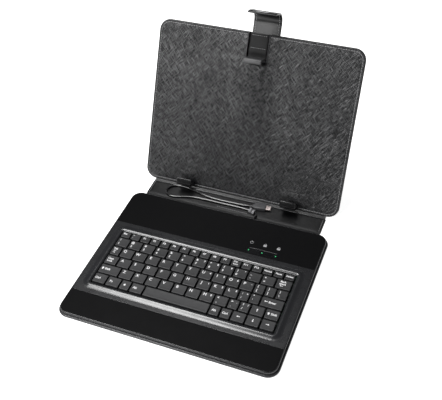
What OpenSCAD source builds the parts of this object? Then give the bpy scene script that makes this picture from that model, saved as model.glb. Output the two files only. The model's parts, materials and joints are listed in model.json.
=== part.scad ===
// Folding tablet case with a built-in keyboard, standing open on its rear leg.
// Origin: centre of the base's underside. +X right, +Y towards the fold, +Z up.

/* [Base] */
// Width of the base over its leather edge
base_w = 260; // [250:1:280]
// Depth of the base from its front edge to its rear edge
base_d = 206; // [200:1:220]
// Corner radius of the leather edge
base_r = 14; // [10:1:18]
// Thickness of the leather cover with its board
cover_t = 3; // [2.6:0.1:3.6]
// Height of the keyboard tray's flat top above the table
deck_z = 7; // [6.8:0.1:7.6]
// How far the leather edge stands out around the tray
rim = 2.2; // [1.6:0.1:3]

/* [Keyboard] */
// Width of the key field, gaps included
field_w = 220.2; // [214:0.1:222]
// Pitch of a letter key
key_pitch = 16.75; // [16.2:0.05:16.8]
// Pitch between the rows of full keys
row_pitch = 14.55; // [14:0.05:14.8]
// Pitch of the short top row
top_row_pitch = 10.45; // [10:0.05:10.8]
// Gap between two keycaps
key_gap = 1.4; // [1:0.1:1.8]
// Height of a keycap's top above the table
key_top_z = 8.3; // [8.1:0.1:8.6]
// Height of the raised ring around the keys above the deck
ridge_h = 1.4; // [1:0.1:1.8]

/* [Spine] */
// Width of the spine
spine_w = 232; // [220:1:236]
// Distance between the two folds
spine_d = 27.4; // [26:0.2:30]
// Thickness of the spine
spine_t = 2.2; // [2.2:0.1:2.6]

/* [Lid] */
// Width of the lid
lid_w = 259; // [250:1:270]
// Height of the lid along its face
lid_h = 205; // [200:1:215]
// Corner radius of the lid
lid_r = 14; // [10:1:18]
// Thickness of the lid
lid_t = 5; // [5:0.1:6]
// Angle of the standing lid above the table
lid_tilt = 62; // [58:1:66]

/* [Tablet holder] */
// Reach of the hooks in front of the lid's lining
hook_reach = 15.8; // [13:0.1:16]
// Width of a lower clip
clip_w = 19.6; // [16:0.2:22]
// Distance of a lower clip from the middle
clip_x = 69; // [60:1:80]
// Width of the sliding top hook
hook_w = 22.4; // [20:0.2:23]
// Travel of the sliding top hook
hook_travel = 18; // [15:1:18]

/* [Strap and leg] */
// Width of the closing strap
strap_w = 35; // [30:1:38]
// Sideways place of the closing strap
strap_x = 6.5; // [0:0.5:10]
// Width of the rear leg
leg_w = 104; // [80:1:120]

/* [Cable] */
// Diameter of the cable
cable_d = 2.4; // [2:0.1:2.8]

/* [Hidden] */
$fn = 48;
eps = 0.01;
skin = 0.9;
fit_gap = 0.1;
front_y = -103;
back_y = front_y + base_d;

// Tray
tray_w = base_w - 2 * rim;
tray_front = front_y + rim;
tray_back = 101;
tray_d = tray_back - tray_front;
tray_cy = (tray_back + tray_front) / 2;
tray_r = base_r - rim;
tray_wall = 1.6;
floor_t = 0.7;
deck_t = 1.2;
strip_t = 0.6;
strip_inset = 1.2;
palm_back = -67.75;
rear_front = 45.25;

// Key field
field_back = 30.7;
cap_h = 2.4;
cap_wall = 0.9;
key_travel = 1.4;
stem_d = 3.6;
cap_step = 0.35;
well_gap = 0.5;
well_r = 1.5;
ridge_in = 3;
ridge_out = 9;
slim = field_w / 17;
row_y = [for (r = [0:5]) r == 0 ? field_back - top_row_pitch / 2
                                : field_back - top_row_pitch - (r - 0.5) * row_pitch];
field_front = field_back - top_row_pitch - 5 * row_pitch;
function row_depth(r) = r == 0 ? top_row_pitch : row_pitch;

// Key widths by row, each row's last key filling what is left
function times(n, w) = [for (i = [1:n]) w];
function sum(v, i = 0) = i < len(v) ? v[i] + sum(v, i + 1) : 0;
function filled(v) = concat(v, [field_w - sum(v)]);
function before(v, k) = k > 0 ? v[k - 1] + before(v, k - 1) : 0;
tab_w = 13;
caps_w = 16.6;
shift_w = 26.4;
ctrl_w = 17.2;
space_w = 79.6;
key_rows = [
    times(17, slim),
    filled(times(12, key_pitch)),
    filled(concat([tab_w], times(10, key_pitch), times(2, slim))),
    filled(concat([caps_w], times(9, key_pitch), times(2, slim))),
    filled(concat([shift_w], times(8, key_pitch), times(2, slim), [key_pitch])),
    filled([ctrl_w, ctrl_w, slim, key_pitch, space_w, slim, slim, key_pitch, key_pitch])
];
function key_cx(r, k) = -field_w / 2 + before(key_rows[r], k) + key_rows[r][k] / 2;

// Levels inside the tray
board_z = skin;
pocket_z = board_z + 0.9;
shell_z = cover_t;
shell_lip = 1.4;
sheet_z = shell_z + floor_t;
dome_z = sheet_z + 0.4;

// Circuit board: its middle and size, and each chip's middle, width and height
pcb_at = [60, 60.5];
pcb_size = [80, 27];
pcb_t = 0.8;
chips = [[35, 65, 10, 1.1], [74, 66, 8, 0.8]];

// Screws through the shell into the frame
screw_r = 1.2;
screw_head_r = 2.4;
screw_reach = 2.8;
boss_r = 2.6;
boss_bore = 2.2;
screw_points = [for (x = [-118, 0, 118], y = [-84, 80]) if (!(x == 0 && y < 0)) [x, y]];

// Steel plate that the strap's magnet holds to
catch_w = 32;
catch_d = 12;
catch_y = -86;

// Status lights
led_x = 61.3;
led_pitch = 16.7;
led_y = 51.3;
window_w = 41.5;
window_d = 9.2;

// Folds
fold_y = 106.2;
fold_z = 1.3;
bead_r = 1.2;
spine_gap = 1.6;
lid_fold_y = fold_y + spine_d;
spine_y0 = fold_y + spine_gap;
spine_y1 = lid_fold_y - spine_gap;

// Lid frame: local Y runs up the face, local Z stands out of the lining
lid_y = lid_fold_y + 0.05;
lid_z = fold_z + 3;
lining_t = 0.8;
board_front = -lining_t;
board_rear = -lid_t + skin;
slot_w = 26;
slot_y = 172.6;
guide_w = 32;
guide_y = 90;
hook_y = 173;
hook_t = 3;
lip_t = 3;
lip_len = 3;
clip_y = 3;
clip_top = 12.5;
clip_foot = 22;
clip_root = -1.7;
rivet_r = 1.5;

// Sliding plate of the top hook, its grip in the guide at full travel and its two springs
plate_w = 25.2;
plate_grip = 57;
plate_y = lid_h - plate_grip - hook_travel;
plate_z0 = -3.4;
plate_z1 = -2.2;
spring_x = 7;
spring_r = 0.85;
spring_z = -2.5;
spring_wire = 0.25;
spring_steps = 70;
spring_step = (plate_y - guide_y - 5) / spring_steps;

// Strap, in the lid frame
strap_t = 2.2;
strap_axis_y = lid_h + 1.5;
strap_axis_z = -lid_t - 1.1;
strap_bend_r = 13;
strap_relief = 1.25;
strap_rise = 11;
strap_reach = 17;
strap_cy = strap_axis_y + strap_rise;
strap_cz = strap_axis_z + strap_bend_r;

// Rear leg
leg_pivot_y = 110;
leg_pivot_z = -lid_t - 1.4;
leg_len = 105.2;
leg_t = 2.4;
leg_r = 10;
leg_inset = 4;
leg_flap_t = 1.2;
leg_open = 49;

// Cable route on the spine, from the tray to the plug
cable_z = 3.6;
cable_route = [
    [33, 108, cable_z], [32.8, 111, cable_z], [31, 114.2, cable_z], [26, 115.4, cable_z],
    [14, 116.8, cable_z], [0, 117, cable_z], [-18, 116.8, cable_z], [-36, 116.8, cable_z],
    [-52, 116.2, cable_z], [-63, 113.6, cable_z], [-73, 110.6, cable_z], [-82, 109.6, cable_z],
    [-89, 112, cable_z], [-92, 117.5, cable_z], [-90.5, 124, cable_z], [-85, 128.8, cable_z],
    [-76, 130.4, cable_z], [-66, 129.6, cable_z], [-56, 127.4, cable_z], [-44, 124.4, cable_z],
    [-32, 122.2, cable_z], [-20, 121.6, cable_z], [-6, 121.8, cable_z], [8, 122.2, cable_z],
    [17, 122.7, cable_z], [23.4, 123.4, cable_z]
];
cable_sides = 8;
cable_exit = [33, 4.8];
bushing_r = 1.45;
bushing_out = 1;
tie_at = [26.2, 115.1];
tie_turn = -12;
tie_size = [10, 5.8, 3.8];
tie_hole = [4, 2.8];
plug_at = [23.6, 123.4, 4.7];
plug_turn = 6;
plug_size = [17.2, 9, 5];
shell_size = [6.2, 6.85, 1.8];

// ---------- shared shapes ----------

module rounded(w, d, r) {
    square([w - 2 * r, d], center = true);
    square([w, d - 2 * r], center = true);
    for (x = [-1, 1], y = [-1, 1])
        translate([x * (w / 2 - r), y * (d / 2 - r)]) circle(r);
}

module plate(w, d, r, z0, z1, cy = 0) {
    translate([0, cy, z0]) linear_extrude(z1 - z0) rounded(w, d, r);
}

module block(x0, x1, y0, y1, z0, z1) {
    translate([x0, y0, z0]) cube([x1 - x0, y1 - y0, z1 - z0]);
}

module bar_x(w, y, z, r) {
    translate([-w / 2, y, z]) rotate([0, 90, 0]) cylinder(h = w, r = r);
}

module on_lid() {
    translate([0, lid_y, lid_z]) rotate([lid_tilt, 0, 0]) children();
}

// Outline in the lid's Y-Z plane, extruded across X about a centre
module profile_x(w, cx, points) {
    translate([cx - w / 2, 0, 0]) rotate([90, 0, 90]) linear_extrude(w) polygon(points);
}

// ---------- base ----------

module base_cover() {
    color("#3a3a3d") {
        difference() {
            plate(base_w, base_d, base_r, 0, cover_t, front_y + base_d / 2);
            plate(tray_w - 0.4, base_d - 4.8, tray_r, skin, cover_t + eps,
                  front_y + base_d / 2);
        }
        block(-spine_w / 2 + 1, spine_w / 2 - 1, back_y - 1, fold_y, 0.4, 1.6);
        bar_x(spine_w - 2, fold_y, fold_z, bead_r);
    }
}

module base_board() {
    color("#6b5a45") difference() {
        plate(tray_w - 0.6, base_d - 5, tray_r, board_z, cover_t, front_y + base_d / 2);
        catch_plate(fit_gap, cover_t + eps);
        for (p = screw_points)
            translate([p[0], p[1], pocket_z]) cylinder(h = cover_t, r = screw_head_r + 2 * fit_gap);
    }
}

module catch_plate(grow, top) {
    block(-catch_w / 2 - grow, catch_w / 2 + grow, catch_y - catch_d / 2 - grow,
          catch_y + catch_d / 2 + grow, pocket_z, top);
}

module strap_plate() {
    color("silver") catch_plate(0, cover_t);
}

module tray_shell() {
    color("#202022") difference() {
        union() {
            plate(tray_w, tray_d, tray_r, shell_z, sheet_z, tray_cy);
            plate(tray_w - 2 * tray_wall - 2 * fit_gap, tray_d - 2 * tray_wall - 2 * fit_gap,
                  tray_r - tray_wall, shell_z, shell_z + shell_lip, tray_cy);
        }
        plate(tray_w - 4 * tray_wall, tray_d - 4 * tray_wall, tray_r - 2 * tray_wall,
              sheet_z, shell_z + 2, tray_cy);
        for (p = screw_points)
            translate([p[0], p[1], shell_z - eps]) cylinder(h = cover_t, r = screw_r + fit_gap);
        cable_hole();
    }
}

module tray_screws() {
    head_z = pocket_z + fit_gap;
    color("silver") for (p = screw_points) translate([p[0], p[1], 0]) {
        translate([0, 0, head_z]) cylinder(h = cover_t - head_z, r = screw_head_r);
        translate([0, 0, cover_t - eps]) cylinder(h = screw_reach, r = screw_r);
    }
}

well_x = field_w / 2 + well_gap;
well_back = field_back + well_gap;
well_front = field_front - well_gap;
well_cy = (well_back + well_front) / 2;
well_d = well_back - well_front;

// Raised ring around the keys: one profile run along each side and turned at each corner
ridge_profile = [[0, -0.4], [0, 0.3], [ridge_in - 1, ridge_h - 0.2], [ridge_in, ridge_h],
                 [ridge_in + 1.2, ridge_h - 0.25], [ridge_out, 0], [ridge_out, -0.4]];

module ridge() {
    sides = [[0, well_x, well_d], [90, well_d / 2, 2 * well_x],
             [180, well_x, well_d], [270, well_d / 2, 2 * well_x]];
    for (s = sides) translate([0, well_cy, deck_z]) rotate(s[0]) {
        straight = s[2] - 2 * well_r;
        translate([s[1], straight / 2, 0]) rotate([90, 0, 0])
            linear_extrude(straight) polygon(ridge_profile);
        translate([s[1] - well_r, straight / 2, 0])
            rotate_extrude(angle = 90) translate([well_r, 0]) polygon(ridge_profile);
    }
}

module tray_frame() {
    color("#3c3d40") {
        difference() {
            plate(tray_w, tray_d, tray_r, sheet_z, deck_z, tray_cy);
            plate(tray_w - 2 * tray_wall, tray_d - 2 * tray_wall, tray_r - tray_wall,
                  sheet_z - eps, deck_z - deck_t, tray_cy);
            block(-well_x, well_x, well_front, well_back, 0, deck_z + 1);
            intersection() {
                plate(tray_w - 2 * strip_inset, tray_d - 2 * strip_inset,
                      tray_r - strip_inset, deck_z - strip_t, deck_z + eps, tray_cy);
                union() {
                    block(-base_w, base_w, front_y, palm_back, 0, 20);
                    block(-base_w, base_w, rear_front, back_y, 0, 20);
                }
            }
            light_slot(0.1, deck_z - 3, deck_z);
            cable_hole();
        }
        for (p = screw_points) translate([p[0], p[1], sheet_z]) difference() {
            cylinder(h = deck_z - deck_t - sheet_z + 0.1, r = boss_r);
            translate([0, 0, -eps]) cylinder(h = boss_bore, r = screw_r + fit_gap / 2);
        }
        ridge();
    }
}

module strip(y0, y1) {
    intersection() {
        plate(tray_w - 2 * strip_inset - 0.2, tray_d - 2 * strip_inset - 0.2,
              tray_r - strip_inset, deck_z - strip_t, deck_z, tray_cy);
        block(-base_w, base_w, y0, y1, 0, 20);
    }
}

module palm_panel() {
    color("#18181a") strip(front_y, palm_back - 0.1);
}

module rear_panel() {
    color("#18181a") difference() {
        strip(rear_front + 0.1, back_y);
        light_slot(0, 0, 20);
    }
}

module light_slot(grow, z0, z1) {
    w = window_w + 2 * grow;
    d = window_d + 2 * grow;
    translate([led_x, led_y, z0]) linear_extrude(z1 - z0) rounded(w, d, d / 2 - 0.01);
}

module light_window() {
    color("#0c0c0e") difference() {
        light_slot(-0.1, deck_z - 1.6, deck_z - 0.2);
        light_slot(-1.2, deck_z - 0.8, deck_z);
    }
}

module status_lights() {
    color("#2fbf5a") for (i = [-1:1])
        translate([led_x + i * led_pitch, led_y, sheet_z + pcb_t]) cylinder(h = 0.8, r = 1);
}

module contact_sheet() {
    color("#9a9a60") plate(field_w, well_d - 1, 2, sheet_z, dome_z - 0.1, well_cy);
}

module dome_sheet() {
    color("#d8d8d0") {
        plate(field_w - 1, well_d - 2, 2, dome_z - 0.1, dome_z + 0.2, well_cy);
        for (r = [0:5], k = [0:len(key_rows[r]) - 1])
            translate([key_cx(r, k), row_y[r], dome_z + 0.1]) cylinder(h = 1.2, r1 = 2.6, r2 = 1.5);
    }
}

module circuit_board() {
    color("#1f6b3a") {
        translate([pcb_at[0] - pcb_size[0] / 2, pcb_at[1] - pcb_size[1] / 2, sheet_z])
            cube([pcb_size[0], pcb_size[1], pcb_t]);
        for (c = chips) translate([c[0] - c[2] / 2, c[1] - c[2] / 2, sheet_z + pcb_t - eps])
            cube([c[2], c[2], c[3] + eps]);
    }
}

module cable_bushing() {
    color("#151517") translate([cable_exit[0], tray_back + bushing_out, cable_exit[1]])
        rotate([90, 0, 0]) cylinder(h = 4, r = bushing_r);
}

module cable_hole() {
    translate([cable_exit[0], tray_back, cable_exit[1]])
        rotate([90, 0, 0]) cylinder(h = 10, r = bushing_r + fit_gap, center = true);
}

// ---------- keys ----------

module keycap(r, k) {
    w = key_rows[r][k] - key_gap;
    d = row_depth(r) - key_gap;
    translate([key_cx(r, k), row_y[r], key_top_z - cap_h]) {
        difference() {
            union() {
                translate([-w / 2, -d / 2, 0]) cube([w, d, cap_h - cap_step]);
                translate([-w / 2 + cap_step, -d / 2 + cap_step, 0])
                    cube([w - 2 * cap_step, d - 2 * cap_step, cap_h]);
            }
            translate([-w / 2 + cap_wall, -d / 2 + cap_wall, -eps])
                cube([w - 2 * cap_wall, d - 2 * cap_wall, cap_h - cap_wall]);
        }
        translate([0, 0, cap_h - cap_wall - 0.5]) cylinder(h = 0.6, d = stem_d);
    }
}

module keys(r, first, last) {
    color("#46474a") for (k = [first:last]) keycap(r, k);
}

// ---------- spine ----------

module spine_cover() {
    color("#333336") {
        difference() {
            block(-spine_w / 2, spine_w / 2, spine_y0, spine_y1, 0, spine_t - 0.7);
            block(-spine_w / 2 + 1.5, spine_w / 2 - 1.5, spine_y0 + 1.5, spine_y1 - 1.5,
                  0.7, spine_t);
        }
        block(-spine_w / 2 + 1, spine_w / 2 - 1, spine_y1 - 1, lid_fold_y, 0.7, 1.4);
        bar_x(spine_w - 2, lid_fold_y, fold_z, bead_r - 0.1);
    }
}

module spine_board() {
    color("#6b5a45") block(-spine_w / 2 + 1.6, spine_w / 2 - 1.6, spine_y0 + 1.6,
                           spine_y1 - 1.6, 0.7, spine_t - 0.7);
}

module spine_lining() {
    color("#2b2b2e") block(-spine_w / 2, spine_w / 2, spine_y0, spine_y1, spine_t - 0.7, spine_t);
}

// Tube swept along a route by rings square to it
function unit(v) = v / norm(v);
function heading(p, i) = unit(p[min(i + 1, len(p) - 1)] - p[max(i - 1, 0)]);
function tube_ring(p, i, r, n) =
    let (t = heading(p, i), s = unit(cross([0, 0, 1], t)), u = cross(t, s))
    [for (k = [0:n - 1]) p[i] + r * cos(360 * k / n) * s + r * sin(360 * k / n) * u];
function smooth(p, steps) = concat([for (i = [0:len(p) - 2], k = [0:steps - 1])
    let (t = k / steps, a = p[max(i - 1, 0)], b = p[i], c = p[i + 1],
         d = p[min(i + 2, len(p) - 1)])
    0.5 * (2 * b + (c - a) * t + (2 * a - 5 * b + 4 * c - d) * t * t
           + (3 * b - 3 * c + d - a) * t * t * t)], [p[len(p) - 1]]);

module tube(path, r, n) {
    m = len(path);
    points = [for (i = [0:m - 1]) each tube_ring(path, i, r, n)];
    sides = [for (i = [0:m - 2], k = [0:n - 1])
        let (a = i * n + k, b = i * n + (k + 1) % n)
        each [[a, b, b + n], [a, b + n, a + n]]];
    caps = [[for (k = [n - 1:-1:0]) k], [for (k = [0:n - 1]) (m - 1) * n + k]];
    polyhedron(points, concat(sides, caps));
}

module usb_cable() {
    color("#1c1c1e") tube(smooth(cable_route, 2), cable_d / 2, cable_sides);
}

module on_plug(ahead) {
    translate(plug_at) rotate(plug_turn) translate([ahead, 0, 0]) children();
}

module plug_body() {
    color("#4a4b4e") on_plug(plug_size[0] / 2) difference() {
        cube(plug_size, center = true);
        translate([plug_size[0] / 2, 0, 0]) cube([2, 5.6, 1.2], center = true);
    }
}

module plug_shell() {
    color("silver") on_plug(plug_size[0] + shell_size[0] / 2) difference() {
        cube(shell_size, center = true);
        translate([0.8, 0, 0])
            cube([shell_size[0], shell_size[1] - 0.6, shell_size[2] - 0.6], center = true);
    }
}

module cable_tie() {
    color("#8a8b8e") translate([tie_at[0], tie_at[1], spine_t]) rotate(tie_turn) difference() {
        translate([-tie_size[0] / 2, -tie_size[1] / 2, 0]) cube(tie_size);
        translate([-tie_size[0], -tie_hole[0] / 2, -eps])
            cube([2 * tie_size[0], tie_hole[0], tie_hole[1]]);
    }
}

// ---------- lid ----------

module lid_outline(inset) {
    translate([0, lid_h / 2]) rounded(lid_w - 2 * inset, lid_h - 2 * inset, lid_r - inset);
}

module lid_cover() {
    color("#333336") on_lid() {
        difference() {
            translate([0, 0, -lid_t]) linear_extrude(lid_t - lining_t) lid_outline(0);
            translate([0, 0, board_rear]) linear_extrude(lid_t) lid_outline(1);
            block(-slot_w / 2, slot_w / 2, lid_h - 2, lid_h + 1, board_rear, 1);
        }
        block(-leg_w / 2 + leg_inset, leg_w / 2 - leg_inset, leg_pivot_y + 1.6, leg_pivot_y + 14,
              -lid_t - leg_flap_t, -lid_t + eps);
    }
}

module lid_board() {
    color("#6b5a45") on_lid() difference() {
        translate([0, 0, board_rear]) linear_extrude(board_front - board_rear) lid_outline(1.1);
        block(-guide_w / 2 - fit_gap, guide_w / 2 + fit_gap, guide_y - fit_gap, lid_h + 1,
              board_rear - eps, 1);
        for (s = [-1, 1]) block(s * clip_x - clip_w / 2 - fit_gap, s * clip_x + clip_w / 2 + fit_gap,
                                clip_y - fit_gap, clip_foot + fit_gap, clip_root - fit_gap, 0);
        for (p = rivet_points)
            translate([p[0], p[1], -lid_t]) cylinder(h = lid_t, r = rivet_r + fit_gap);
    }
}

rivet_points = [for (s = [-1, 1], x = [-5, 5]) [s * clip_x + x, 17]];

module clip_rivets() {
    color("silver") on_lid() for (p = rivet_points)
        translate([p[0], p[1], board_rear])
            cylinder(h = clip_root - fit_gap - board_rear, r = rivet_r);
}

module lid_lining() {
    color("#4a4a4e") on_lid() difference() {
        translate([0, 0, -lining_t]) linear_extrude(lining_t) lid_outline(0);
        block(-slot_w / 2, slot_w / 2, slot_y, lid_h + 1, -1, 1);
        for (s = [-1, 1]) block(s * clip_x - clip_w / 2 - fit_gap, s * clip_x + clip_w / 2 + fit_gap,
                                clip_y - fit_gap, clip_y + hook_t + fit_gap, -1, 1);
    }
}

module clip(side) {
    lip_in = hook_reach - lip_t;
    color("#1b1b1d") on_lid() profile_x(clip_w, side * clip_x, [
        [clip_y, clip_root], [clip_foot, clip_root], [clip_foot, board_front],
        [clip_y + hook_t, board_front],
        [clip_y + hook_t, lip_in - 1], [clip_y + hook_t + 1, lip_in], [clip_top, lip_in],
        [clip_top, hook_reach], [clip_y + 1, hook_reach], [clip_y, hook_reach - 1]
    ]);
}

module hook_guide() {
    color("#26262a") on_lid() difference() {
        block(-guide_w / 2, guide_w / 2, guide_y, lid_h - 1.2, board_rear, board_front);
        block(-slot_w / 2, slot_w / 2, guide_y + 2, lid_h, board_rear + 0.4, 0);
    }
}

module hook_springs() {
    color("silver") on_lid() for (s = [-1, 1])
        tube([for (i = [0:spring_steps]) let (a = 36 * i)
              [s * spring_x + spring_r * cos(a), guide_y + 3 + i * spring_step,
               spring_z + spring_r * sin(a)]], spring_wire, 4);
}

module hook_slider() {
    color("#2e2e32") on_lid() {
        neck = hook_y - lip_len;
        block(-plate_w / 2, plate_w / 2, plate_y, neck, plate_z0, plate_z1);
        block(-hook_w / 2, hook_w / 2, neck - eps, lid_h - 1.5, plate_z0, plate_z1);
    }
}

module hook_leather() {
    color("#303033") on_lid() block(-hook_w / 2, hook_w / 2, hook_y + hook_t + 0.2, lid_h - 1,
                                    plate_z1, plate_z1 + skin);
}

module hook_lip() {
    lip_in = hook_reach - lip_t;
    color("#3a3a3e") on_lid() profile_x(hook_w, 0, [
        [hook_y, plate_z1], [hook_y, lip_in - 1], [hook_y - 1, lip_in], [hook_y - lip_len, lip_in],
        [hook_y - lip_len, hook_reach], [hook_y + hook_t - 1, hook_reach],
        [hook_y + hook_t, hook_reach - 1], [hook_y + hook_t, plate_z1]
    ]);
}

// ---------- strap ----------

module strap_bend(a0, a1) {
    translate([strap_x - strap_w / 2, strap_cy, strap_cz]) rotate([90, 0, 90])
        linear_extrude(strap_w) difference() {
            intersection() {
                circle(strap_bend_r + strap_t / 2, $fn = 96);
                polygon([[0, 0], 40 * [cos(a0), sin(a0)],
                         40 * [cos((a0 + a1) / 2), sin((a0 + a1) / 2)] * 1.2,
                         40 * [cos(a1), sin(a1)]]);
            }
            circle(strap_bend_r - strap_t / 2, $fn = 96);
        }
}

module strap_slab(y0, y1, z) {
    block(strap_x - strap_w / 2, strap_x + strap_w / 2, y0, y1, z - strap_t / 2, z + strap_t / 2);
}

module strap_anchor() {
    color("#2b2b2e") on_lid() strap_slab(162, strap_axis_y - strap_relief, strap_axis_z - eps);
}

module strap_rear() {
    color("#2b2b2e") on_lid() {
        strap_slab(strap_axis_y + strap_relief, strap_cy, strap_axis_z);
        strap_bend(-90, -48);
    }
}

module strap_front() {
    color("#2b2b2e") on_lid() {
        difference() {
            union() {
                strap_bend(-42, 0);
                block(strap_x - strap_w / 2, strap_x + strap_w / 2,
                      strap_cy + strap_bend_r - strap_t / 2, strap_cy + strap_bend_r + strap_t / 2,
                      strap_cz - eps, strap_cz + strap_reach);
            }
            magnet_pocket(0.1);
        }
    }
}

module magnet_pocket(grow) {
    block(strap_x - 7 - grow, strap_x + 7 + grow, strap_cy + strap_bend_r - 0.5 - grow,
          strap_cy + strap_bend_r + 0.5 + grow, strap_cz + 4 - grow, strap_cz + 14 + grow);
}

module strap_magnet() {
    color("silver") on_lid() magnet_pocket(0);
}

// ---------- rear leg ----------

module leg_board() {
    color("#2b2b2e") on_lid() translate([0, leg_pivot_y, leg_pivot_z]) rotate([leg_open, 0, 0]) {
        bar_x(leg_w - 2 * leg_inset, 0, 0, 1.1);
        translate([0, 0, -leg_t / 2]) linear_extrude(leg_t) leg_outline();
    }
}

module leg_outline() {
    translate([0, -leg_len / 2 - 0.2]) rounded(leg_w, leg_len - 1, leg_r);
    translate([-leg_w / 2 + leg_inset, -leg_r - 2]) square([leg_w - 2 * leg_inset, leg_r + 2]);
}

base_cover();
base_board();
tray_shell();
tray_frame();
palm_panel();
rear_panel();
light_window();
status_lights();
contact_sheet();
dome_sheet();
circuit_board();
tray_screws();
cable_bushing();
strap_plate();
spine_cover();
spine_board();
spine_lining();
usb_cable();
plug_body();
plug_shell();
cable_tie();
lid_cover();
lid_board();
lid_lining();
clip(-1);  // clip_left
clip(1);  // clip_right
clip_rivets();
hook_guide();
hook_springs();
hook_slider();
hook_leather();
hook_lip();
strap_anchor();
strap_rear();
strap_front();
strap_magnet();
leg_board();
keys(0, 0, 0);  // key_escape
keys(0, 1, 16);  // keys_function
keys(1, 0, 11);  // keys_number
keys(1, 12, 12);  // key_backspace
keys(2, 0, 0);  // key_tab
keys(2, 1, 13);  // keys_upper
keys(3, 0, 0);  // key_caps
keys(3, 1, 11);  // keys_home
keys(3, 12, 12);  // key_enter
keys(4, 0, 0);  // key_shift_left
keys(4, 1, 10);  // keys_lower
keys(4, 11, 11);  // key_up
keys(4, 12, 12);  // key_shift_right
keys(5, 0, 0);  // key_ctrl_left
keys(5, 1, 1);  // key_fn
keys(5, 2, 2);  // key_menu
keys(5, 3, 3);  // key_alt_left
keys(5, 4, 4);  // key_space
keys(5, 5, 5);  // key_alt_right
keys(5, 6, 6);  // key_ctrl_right
keys(5, 7, 7);  // key_left
keys(5, 8, 8);  // key_down
keys(5, 9, 9);  // key_right
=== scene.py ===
"""Looks of the folding tablet keyboard case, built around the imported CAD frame.

Shapes are worked out in millimetres and turned into metres when a mesh is made.
"""

import json
import math

import bmesh
import bpy
from mathutils import Matrix, Vector


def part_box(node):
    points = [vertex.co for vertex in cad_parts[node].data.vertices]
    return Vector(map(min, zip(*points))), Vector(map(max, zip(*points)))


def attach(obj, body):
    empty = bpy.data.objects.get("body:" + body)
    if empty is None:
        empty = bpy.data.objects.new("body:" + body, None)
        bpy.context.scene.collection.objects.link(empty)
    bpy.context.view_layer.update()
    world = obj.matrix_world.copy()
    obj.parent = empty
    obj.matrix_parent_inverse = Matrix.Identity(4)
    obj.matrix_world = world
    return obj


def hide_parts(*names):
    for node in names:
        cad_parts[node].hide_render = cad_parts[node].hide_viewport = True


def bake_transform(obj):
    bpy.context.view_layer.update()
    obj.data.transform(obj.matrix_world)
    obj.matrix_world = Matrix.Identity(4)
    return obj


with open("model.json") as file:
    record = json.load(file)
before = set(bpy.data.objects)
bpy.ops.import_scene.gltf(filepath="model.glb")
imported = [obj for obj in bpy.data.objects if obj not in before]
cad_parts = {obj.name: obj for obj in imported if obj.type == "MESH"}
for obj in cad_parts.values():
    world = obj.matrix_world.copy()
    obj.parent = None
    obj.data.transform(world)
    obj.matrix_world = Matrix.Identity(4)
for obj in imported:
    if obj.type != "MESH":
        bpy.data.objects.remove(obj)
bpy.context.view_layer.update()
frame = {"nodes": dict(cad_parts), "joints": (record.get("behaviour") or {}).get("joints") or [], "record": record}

MM = 0.001
JOINTS = {joint["name"]: joint for joint in frame["joints"]}


# ---------- reading the frame, and driving dimensions in millimetres ----------

BASE_FOLD = tuple(v / MM for v in JOINTS["base_fold"]["pos_m"])
LID_FOLD = tuple(v / MM for v in JOINTS["lid_fold"]["pos_m"])
LID_TILT = -JOINTS["lid_fold"]["range_deg"][0]


def box_mm(node):
    """Lowest and highest corner of a CAD node, in millimetres."""
    low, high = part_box(node)
    return [v / MM for v in low], [v / MM for v in high]


def span_mm(node):
    """Centre and size of a CAD node, in millimetres."""
    low, high = box_mm(node)
    return [(a + b) / 2 for a, b in zip(low, high)], [b - a for a, b in zip(low, high)]


def placed(name, data):
    """A new object in the scene."""
    obj = bpy.data.objects.new(name, data)
    bpy.context.scene.collection.objects.link(obj)
    return obj


BASE_LOW, BASE_HIGH = box_mm("base_cover")
TRAY_LOW, TRAY_HIGH = box_mm("tray_frame")
SPINE_LOW, SPINE_HIGH = box_mm("spine_lining")
BASE_W = BASE_HIGH[0] - BASE_LOW[0]
BASE_R = 14.0
BASE_BACK = 103.0
DECK_Z = 7.0
RIM = 2.2
(_, TRAY_CY, _), (TRAY_W, TRAY_D, _) = span_mm("tray_frame")
TRAY_R = BASE_R - RIM
PALM_BACK = box_mm("palm_panel")[1][1]
REAR_FRONT = box_mm("rear_panel")[0][1]

LID_W = 259.0
LID_H = 205.0
LID_R = 14.0
LID_T = 5.0
LID_FRAME = (Matrix.Translation((0, LID_FOLD[1] + 0.05, LID_FOLD[2] + 3))
             @ Matrix.Rotation(math.radians(LID_TILT), 4, "X"))

FIELD_W = 220.2
KEY_PITCH = 16.75
ROW_PITCH = 14.55
TOP_PITCH = 10.45
KEY_GAP = 1.4
KEY_TOP = box_mm("key_space")[1][2]
CAP_H = 2.4
SLIM = FIELD_W / 17
FIELD_BACK = box_mm("key_escape")[1][1] + KEY_GAP / 2
FIELD_FRONT = FIELD_BACK - TOP_PITCH - 5 * ROW_PITCH
WELL_D = FIELD_BACK - FIELD_FRONT + 1
WELL_CY = (FIELD_BACK + FIELD_FRONT) / 2


# ---------- camera ----------

def look_from(azimuth, elevation, distance, target, roll, lens):
    """A camera that looks at target, in metres, from a direction given in degrees."""
    a, e = math.radians(azimuth), math.radians(elevation)
    back = Vector((math.sin(a) * math.cos(e), -math.cos(a) * math.cos(e), math.sin(e)))
    data = bpy.data.cameras.new("camera")
    data.lens = lens
    data.sensor_width = 36
    camera = placed("camera", data)
    turn = back.to_track_quat("Z", "Y").to_matrix().to_4x4()
    place = Matrix.Translation(Vector(target) + back * distance)
    camera.matrix_world = place @ turn @ Matrix.Rotation(math.radians(roll), 4, "Z")
    bpy.context.scene.camera = camera


look_from(24.47, 44.1, 0.942, (-0.0205, 0.1273, -0.002), -4.43, 60.0)


# ---------- materials ----------

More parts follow.
